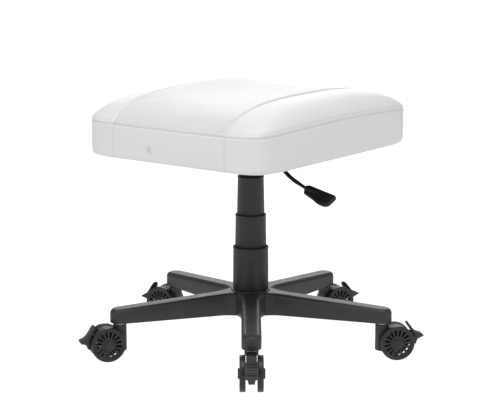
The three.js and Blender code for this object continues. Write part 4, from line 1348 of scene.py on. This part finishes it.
# %% One arm as a stack of outlines
base_low, base_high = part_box("star_base")
ARM_FLOOR = base_low.z
HUB_TOP = base_high.z
stem_one = Vector(joints["caster_1_swivel"]["pos_m"]) - column
STEM_CIRCLE = math.hypot(stem_one.x, stem_one.y)
ARM_HALF = 16.5 * MM
TIP_TOP, ROOT_TOP = 90 * MM, 104.5 * MM
ARM_EDGE = 8 * MM
HUB_RADIUS = 34.5 * MM
STEM_RADIUS, GRIP_HEIGHT = 5.5 * MM, 17 * MM     # of a caster's stem, and how far up the arm it goes


def arm_half(x, inset):
    """Half the arm's width, flaring into the hub."""
    flare = max(0.0, 1 - (x - HUB_RADIUS) / (30 * MM))
    return ARM_HALF - inset + 8 * MM * min(flare, 1) ** 2.4


def arm_top(x):
    share = (x - HUB_RADIUS) / (STEM_CIRCLE - HUB_RADIUS)
    return ROOT_TOP + (TIP_TOP - ROOT_TOP) * share


def arm_outline(inset):
    stations = [0, 12, 24, 34, 38, 42, 46, 50, 55, 62, 80, 110, 140, 170, 200, 225]
    side = [(x * MM, arm_half(x * MM, inset)) for x in stations]
    radius = ARM_HALF - inset
    tip = []
    for step in range(25):
        turn = math.pi / 2 - math.pi * step / 24
        tip.append((STEM_CIRCLE + radius * math.cos(turn), radius * math.sin(turn)))
    return [(x, -y) for x, y in side] + tip[::-1] + [(x, y) for x, y in reversed(side)]


def arm_ring(inset, drop=None, height=None):
    return [(x, y, height if height is not None else arm_top(x) - drop) for x, y in arm_outline(inset)]


def make_arm():
    foot = [(2.2 * MM, 0), (0.8 * MM, 0.5 * MM), (0, 2 * MM)]
    rings = [arm_ring(inset, height=ARM_FLOOR + rise) for inset, rise in foot]
    for step in range(8):
        angle = math.pi / 2 * step / 7
        rings.append(arm_ring(ARM_EDGE * (1 - math.cos(angle)), ARM_EDGE * (1 - math.sin(angle))))
    return ring_stack("arm", rings, black_nylon, 40)


def arm_hollows():
    """The pockets between the ribs, and the hole for the caster's stem."""
    start, end = HUB_RADIUS + 4 * MM, STEM_CIRCLE - 15.5 * MM
    pockets, count, rib = [], 5, 2.4 * MM
    pitch = (end - start) / count
    for index in range(count):
        low, high = start + index * pitch + rib / 2, start + (index + 1) * pitch - rib / 2
        rings = []
        for draft, height in ((0, ARM_FLOOR - 1 * MM), (1 * MM, arm_top(high) - 6.4 * MM)):
            near, far, half = low + draft, high - draft, 13 * MM - draft
            corners = [(near, -half), (far, -half), (far, half), (near, half)]
            rings.append([(x, y, height) for x, y in corners])
        pockets.append(ring_stack("pocket", rings, black_nylon))
    below, above = ARM_FLOOR - 1 * MM, ARM_FLOOR + GRIP_HEIGHT + 0.3 * MM
    hole = round_bar("stem_hole", STEM_RADIUS + 0.3 * MM, below, above, black_nylon, 24)
    carry(hole, Matrix.Translation((STEM_CIRCLE, 0, 0)))
    return pockets + [hole]


arm = combine(make_arm(), "DIFFERENCE", *arm_hollows())
print("arm:", len(arm.data.polygons), "faces")

# %% Hub, and five arms round it
def make_hub():
    rise = HUB_TOP - ARM_FLOOR
    skirt = HUB_RADIUS + 6 * MM
    profile = [(AXIS, ARM_FLOOR), (skirt - 2 * MM, ARM_FLOOR), (skirt, ARM_FLOOR + 2 * MM)]
    for step in range(9):
        share = step / 8
        radius = HUB_RADIUS + (skirt - HUB_RADIUS) * (1 - math.sin(share * math.pi / 2)) ** 1.15
        profile.append((radius, ARM_FLOOR + rise * (0.3 + 0.55 * share)))
    profile += [
        (HUB_RADIUS, HUB_TOP - 1.6 * MM), (HUB_RADIUS - 0.5 * MM, HUB_TOP - 0.5 * MM),
        (HUB_RADIUS - 1.5 * MM, HUB_TOP), (AXIS, HUB_TOP),
    ]
    return turned("hub", profile, black_nylon, 96, 40)


def make_base():
    around.run(arm, Count=CASTERS, Finish=black_nylon)
    star = combine(make_hub(), "UNION", arm)
    bottom, top = ARM_FLOOR - 1 * MM, HUB_TOP + 1 * MM
    taper = [(AXIS, bottom), (17.9 * MM, bottom), (19.3 * MM, top), (AXIS, top)]
    combine(star, "DIFFERENCE", turned("bore", taper, black_nylon, 48))
    star.name = "base_star"
    first = math.atan2(stem_one.y, stem_one.x)
    carry(star, Matrix.Translation(column) @ Matrix.Rotation(first, 4, "Z"))
    star.data.shade_smooth()
    star.data.set_sharp_from_angle(angle=math.radians(42))
    hand_over(star, "base", "black_nylon", "star_base")
    print("star base:", len(star.data.polygons), "faces")


make_base()

# %% [markdown]
# ## Casters
#
# A caster is drawn once at the origin, trailing along +X, and carried to all five stems.
# Two wheels run on one axle with a web between them: the web's back is a round neck for
# the stem, and its top is a hood over the gap. Each wheel is a rim with a polished tread,
# a hub with a raised cap and sixteen spokes with open slots between them. Outside the
# wheels hangs a brake pedal with a release blade above and a ribbed foot below.

# %% One wheel
WHEEL, TREAD_SIDES = 30 * MM, 96
TRAIL = 24 * MM          # how far the axle trails behind the stem
SPOKES = 16
PIVOT_X, PIVOT_Z = TRAIL + 16 * MM, WHEEL + 13 * MM      # of the brake pedal
TRUNNION, TRUNNION_HALF = 2.2 * MM, 7 * MM


def wheel_rim():
    """Tread and rim about +Z, from the inner face at 0 to the outer face at 10 mm."""
    profile = [
        (23.4, 0.9), (27.6, 0.2), (28.6, 0), (29.5, 0.5), (30, 1.6), (30, 8.4), (29.5, 9.5), (28.6, 10),
        (27.0, 10), (26.4, 9.6), (25.6, 9.0), (23.4, 8.6), (22.9, 8.2), (22.9, 1.4),
    ]
    return turned("rim", in_mm(profile), wheel_nylon, TREAD_SIDES, 40)


def wheel_hub():
    profile = [
        (3.2, 1.0), (11.0, 1.0), (12.2, 1.8), (12.2, 8.0), (11.4, 8.8), (9.6, 9.2), (9.2, 9.6), (8.6, 12.2),
        (7.8, 12.8), (5.6, 12.8), (5.2, 12.4), (0.01, 12.4), (0.01, 10.9), (3.2, 10.9),
    ]
    return turned("hub_cap", in_mm(profile), wheel_nylon, 64, 40)


def wheel_spoke():
    """A tapered bar from hub to rim, a little sunk below the rim's face."""
    edge, rings = 0.5, []
    stations = [(11.6, 1.35, 2.0, 8.3), (14, 1.5, 2.2, 8.1), (20, 2.1, 2.2, 8.0), (23.4, 2.5, 2.0, 8.2)]
    for radius, half, low, high in stations:
        section = [
            (-half, low), (half, low), (half, high - edge),
            (half - edge, high), (-half + edge, high), (-half, high - edge),
        ]
        rings.append([(radius * MM, y * MM, z * MM) for y, z in section])
    return ring_stack("spoke", rings, wheel_nylon, 50)


def make_wheel():
    spoke, rim, hub = wheel_spoke(), wheel_rim(), wheel_hub()
    around.run(spoke, Count=SPOKES, Finish=wheel_nylon)
    return joined("wheel", rim, hub, spoke)


wheel = make_wheel()
print("wheel:", len(wheel.data.polygons), "faces")

# %% Web, hood and neck
HOOD_HALF = 8.6 * MM
NECK_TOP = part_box("caster_1_housing")[1].z


def hood_outline():
    radius, arc = 28.5 * MM, []
    for step in range(29):
        angle = math.radians(28 + 132 * step / 28)
        arc.append((TRAIL + radius * math.cos(angle), WHEEL + radius * math.sin(angle)))
    return [(33 * MM, 21 * MM)] + arc + [(0, 39 * MM), (0, 19 * MM), (18 * MM, 18 * MM)]


def make_neck():
    """A round neck for the stem, flattened below to the web's own width."""
    crest = NECK_TOP / MM
    profile = [
        (0.01, 15), (9.2, 15), (10.9, 15.8), (11.6, 17.5), (11.6, crest - 0.8), (10.9, crest), (0.01, crest),
    ]
    neck = turned("neck", in_mm(profile), black_nylon, 56, 40)
    shoulder = NECK_TOP - 6.5 * MM
    side, wide_side = 20 * MM, 21 * MM
    trim_side = [(-side, 0), (side, 0), (side, shoulder), (-side, shoulder)]
    keep_side = [(-wide_side, -MM), (wide_side, -MM), (wide_side, NECK_TOP + MM), (-wide_side, NECK_TOP + MM)]
    trim = side_part("trim", trim_side, 30 * MM, black_nylon)
    combine(trim, "DIFFERENCE", side_part("keep", keep_side, HOOD_HALF, black_nylon))
    return combine(neck, "DIFFERENCE", trim)


def housing_holes():
    """Room for the pedal's arm, the axle, the stem and the pedal's trunnion."""
    slot_half, pin_half = 4.8 * MM, TRUNNION_HALF + 0.4 * MM
    slot = round_bar("slot_tool", 12 * MM, -slot_half, slot_half, black_nylon, 48)
    axle_hole = round_bar("axle_tool", 3.3 * MM, -30 * MM, 30 * MM, black_nylon, 24)
    low, high = NECK_TOP - 16.3 * MM, NECK_TOP + MM
    stem_hole = round_bar("stem_tool", STEM_RADIUS + 0.3 * MM, low, high, black_nylon, 32)
    pin_hole = round_bar("pin_tool", TRUNNION + 0.4 * MM, -pin_half, pin_half, black_nylon, 24)
    laid_across(slot, PIVOT_X, PIVOT_Z)
    laid_across(axle_hole, TRAIL, WHEEL)
    laid_across(pin_hole, PIVOT_X, PIVOT_Z)
    return slot, axle_hole, stem_hole, pin_hole


def make_housing():
    web = side_part("web", hood_outline(), HOOD_HALF, black_nylon)
    rounded(web, 0.9 * MM, 3, 50)
    combine(web, "UNION", make_neck())
    combine(web, "DIFFERENCE", *housing_holes())
    ridge_side = [(0, -0.6 * MM), (0.45 * MM, 0), (0, 0.6 * MM)]
    on_hood = Matrix.Translation((28.4 * MM, 0, 0))
    ridges = []
    for step in range(15):
        ridge = side_part("hood_ridge", ridge_side, 7.4 * MM, black_nylon, 60)
        round_axle = Matrix.Rotation(-math.radians(62 + 6 * step), 4, "Y")
        ridges.append(carry(ridge, Matrix.Translation((TRAIL, 0, WHEEL)) @ round_axle @ on_hood))
    return joined("housing", web, *ridges)


housing = make_housing()
print("housing:", len(housing.data.polygons), "faces")

# %% Brake pedal
PEDAL_SIDE = [           # outwards and upwards from the axle, in millimetres
    (21, 31), (21.6, 32.8), (23, 33.6), (24.2, 33.0), (25.2, 30), (27, 26), (29, 21.6), (31, 18),
    (34, 14.2), (37.5, 11), (41, 9), (45, 7.5), (46.6, 6.4), (47, 5), (46.4, 3.6), (45, 3), (42, 2.2),
    (39, 1), (36.8, -0.4), (35.5, -2), (34.2, -5.2), (33.4, -8), (32.2, -9), (30.9, -8.5), (30.9, -5),
    (31.3, -1), (31.6, 4), (30.8, 9), (29.5, 13), (27.4, 17.6), (25, 22), (22.8, 26.4),
]
PEDAL_FACE = [           # its right edge, from the foot to the tip of the blade
    (5, -10), (5.6, -5), (6.4, -1), (9.2, 2.6), (11, 6), (11, 19), (10.2, 24), (8, 28.4), (4.4, 32.6),
]
PEDAL_ARM = [(12, 9), (32, 5), (32.5, 9), (30, 15), (16, 18), (12, 16)]
PEDAL_RIBS = [           # outwards, upwards, half length
    (33.2, 15.2, 8.6), (36.4, 12.1, 8.8), (40.0, 9.8, 8.2),
    (43.6, 8.3, 6.6), (30.2, 19.6, 8.0), (28.0, 24.2, 6.6),
]


def pedal_points(pairs):
    return [(TRAIL + x * MM, WHEEL + z * MM) for x, z in pairs]


def make_pedal():
    """The pedal pressed down; a released one is turned up about its pivot."""
    pedal = side_part("pedal", pedal_points(PEDAL_SIDE), 11 * MM, black_nylon)
    left_edge = [(-y, z) for y, z in reversed(PEDAL_FACE)]
    front = in_mm([(-5, -10)] + PEDAL_FACE + [(0, 34.5)] + left_edge[:-1])
    face = flat_part("face_tool", front, 0, 90 * MM, black_nylon)
    carry(face, Matrix(((0, 0, 1, 0), (1, 0, 0, 0), (0, 1, 0, WHEEL), (0, 0, 0, 1))))
    combine(pedal, "INTERSECT", face)
    rounded(pedal, 0.7 * MM, 2, 45)
    neck = side_part("pedal_neck", pedal_points(PEDAL_ARM), 3.8 * MM, black_nylon)
    pin = round_bar("trunnion", TRUNNION, -TRUNNION_HALF, TRUNNION_HALF, black_nylon, 24)
    laid_across(pin, PIVOT_X, PIVOT_Z)
    ribs = []
    for x, z, half in PEDAL_RIBS:
        turns = [math.pi * step / 4 for step in range(8)]
        outline = pedal_points([(x + 0.8 * math.cos(a), z + 0.8 * math.sin(a)) for a in turns])
        ribs.append(side_part("rib", outline, half * MM, black_nylon, 60))
    return joined("pedal", pedal, neck, pin, *ribs)


pedal = make_pedal()
print("pedal:", len(pedal.data.polygons), "faces")

# %% Stem and axle
def make_stem():
    """Swivel end in the housing, collar over its neck, grooved grip end in the arm."""
    foot, collar = NECK_TOP / MM - 16, NECK_TOP / MM + 0.3
    grip = (ARM_FLOOR + GRIP_HEIGHT) / MM
    profile = [
        (0.01, foot), (4.9, foot), (5.5, foot + 0.6), (5.5, collar),
        (9.6, collar), (10, collar + 0.4), (10, collar + 2.0), (9.6, collar + 2.4), (5.5, collar + 2.4),
        (5.5, grip - 7), (5.0, grip - 6.6), (5.0, grip - 5), (5.5, grip - 4.6),
        (5.5, grip - 1), (4.6, grip), (0.01, grip),
    ]
    return turned("stem", in_mm(profile), zinc_steel, 48, 40)


def make_axle():
    low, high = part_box("caster_1_axle")
    half = (high - low).y / 2 / MM
    profile = [(0.01, -half), (2.6, -half), (3, -half + 0.4), (3, half - 0.4), (2.6, half), (0.01, half)]
    return laid_across(turned("axle", in_mm(profile), zinc_steel, 32, 40), TRAIL, WHEEL)


stem, axle = make_stem(), make_axle()
print("stem and axle turned")

# %% Five casters at their stems
INNER_FACE = 9.6 * MM
on_axle = Matrix.Translation((TRAIL, 0, WHEEL))
wheel_a = on_axle @ Matrix.Translation((0, INNER_FACE, 0)) @ Matrix.Rotation(-math.pi / 2, 4, "X")
wheel_b = on_axle @ Matrix.Translation((0, -INNER_FACE, 0)) @ Matrix.Rotation(math.pi / 2, 4, "X")
pivot = Matrix.Translation((PIVOT_X, 0, PIVOT_Z))


def copy_to(master, name, place):
    piece = master.copy()
    piece.data = master.data.copy()
    piece.name = piece.data.name = name
    scene.collection.objects.link(piece)
    return carry(piece, place)


for number in range(1, CASTERS + 1):
    home = caster_place(number)
    body = f"caster_{number}"
    lift = math.radians(joints[f"{body}_lock"]["range_deg"][1])      # nothing if it rests pressed
    pedal_turn = pivot @ Matrix.Rotation(-lift, 4, "Y") @ pivot.inverted()
    parts = [
        (stem, "stem", Matrix.Identity(4), "base", "zinc_steel"),
        (housing, "housing", Matrix.Identity(4), body, "black_nylon"),
        (axle, "axle", Matrix.Identity(4), body, "zinc_steel"),
        (wheel, "wheel_a", wheel_a, f"{body}_wheel_a", "wheel_nylon"),
        (wheel, "wheel_b", wheel_b, f"{body}_wheel_b", "wheel_nylon"),
        (pedal, "brake", pedal_turn, f"{body}_brake", "black_nylon"),
    ]
    for master, part, local, rides_on, slot in parts:
        piece = copy_to(master, f"{part}_of_{body}", home @ local)
        hand_over(piece, rides_on, slot, f"{body}_{part}")
for master in (stem, housing, axle, wheel, pedal):
    bpy.data.objects.remove(master)
print("casters in place:", CASTERS)

# %% [markdown]
# ## Pieces that keep the frame's own shape
#
# The board, the stand tube, the rod, the bearing and the button lie inside the stool.
# Their shapes are right as they are, so they only take a finish.

# %% Finish what is left
inner_finishes = {
    "seat_board": "plywood", "stand_tube": "black_steel", "piston_rod": "chromed_steel",
    "thrust_bearing": "zinc_steel", "release_button": "zinc_steel",
}
for node, slot_name in inner_finishes.items():
    for holder in frame["nodes"][node].material_slots:
        holder.material = finishes[slot_name]
left_plain = [
    node for node, piece in frame["nodes"].items()
    if not piece.hide_render and node not in inner_finishes
]
print("frame pieces finished:", len(inner_finishes), "still plain:", left_plain)

# %% [markdown]
# ## Stage, light and camera
#
# The stool stands on a plain pale floor in front of nothing. A big soft light hangs over
# it, and another stands behind it, low enough to glance off the upper faces of the arms.
# Two weaker ones fill from the right and the left. The floor looks brighter to the camera
# than to the stool, so that it stays pale without washing out the arms from below. The
# camera is far away with a long lens, a little above the seat's height.

# %% Floor
def stage_floor():
    finish = Finish("floor_paper", Roughness=1.0)
    finish.shader.inputs["Base Color"].default_value = (0.25, 0.25, 0.25, 1)
    finish.shader.inputs["Emission Strength"].default_value = 1
    seen = finish.node("ShaderNodeLightPath", {}, "Is Camera Ray")
    finish.feed("Emission Color", seen * 0.40 + 0.58)
    span = 14            # metres each way, past the edges of any view
    corners = [(-span, -span, 0), (span, -span, 0), (span, span, 0), (-span, span, 0)]
    mesh = bpy.data.meshes.new("floor")
    mesh.from_pydata(corners, [], [(0, 1, 2, 3)])
    mesh.materials.append(finish.material)
    floor = bpy.data.objects.new("floor", mesh)
    scene.collection.objects.link(floor)


stage_floor()
print("floor laid")

# %% Lights
world = bpy.data.worlds.new("studio")
world.use_nodes = True
world.node_tree.nodes["Background"].inputs["Color"].default_value = (1, 1, 1, 1)
world.node_tree.nodes["Background"].inputs["Strength"].default_value = 0.32
scene.world = world


def soft_light(name, size, power, place, aim=(0, 0, 0.25)):
    lamp = bpy.data.lights.new(name, "AREA")
    lamp.size = size
    lamp.energy = power
    light = bpy.data.objects.new(name, lamp)
    light.location = place
    light.rotation_euler = (Vector(aim) - Vector(place)).to_track_quat("-Z", "Y").to_euler()
    scene.collection.objects.link(light)


soft_light("overhead", 2.4, 35, (0.0, -0.7, 2.6))
soft_light("behind", 2.2, 30, (0.1, 3.2, 1.7))
soft_light("right_fill", 1.6, 8, (2.3, -1.5, 1.3))
soft_light("left_fill", 1.6, 12, (-2.0, -1.9, 1.2))
print("world and four soft lights")

# %% Camera
DISTANCE, FOCAL_LENGTH = 2.958, 124.9
ELEVATION = math.radians(11.6)
TURN = math.radians(0.12)
AIM = Vector((-0.010, 0, 0.246))     # from the foot of the column


def viewing_camera():
    lens = bpy.data.cameras.new("camera")
    lens.sensor_width = 36
    lens.lens = FOCAL_LENGTH
    lens.clip_end = 50
    camera = bpy.data.objects.new("camera", lens)
    level = DISTANCE * math.cos(ELEVATION)
    back = Vector((-level * math.sin(TURN), -level * math.cos(TURN), DISTANCE * math.sin(ELEVATION)))
    camera.location = Vector((column.x, column.y, 0)) + AIM + back
    camera.rotation_euler = (math.pi / 2 - ELEVATION, 0, -TURN)
    scene.collection.objects.link(camera)
    scene.camera = camera
    scene.view_settings.view_transform = "Standard"


viewing_camera()
print("camera", DISTANCE, "metres away")

# %% [markdown]
# ## Hand over
# The last cell brings the scene up to date.

# %% Update the scene
bpy.context.view_layer.update()
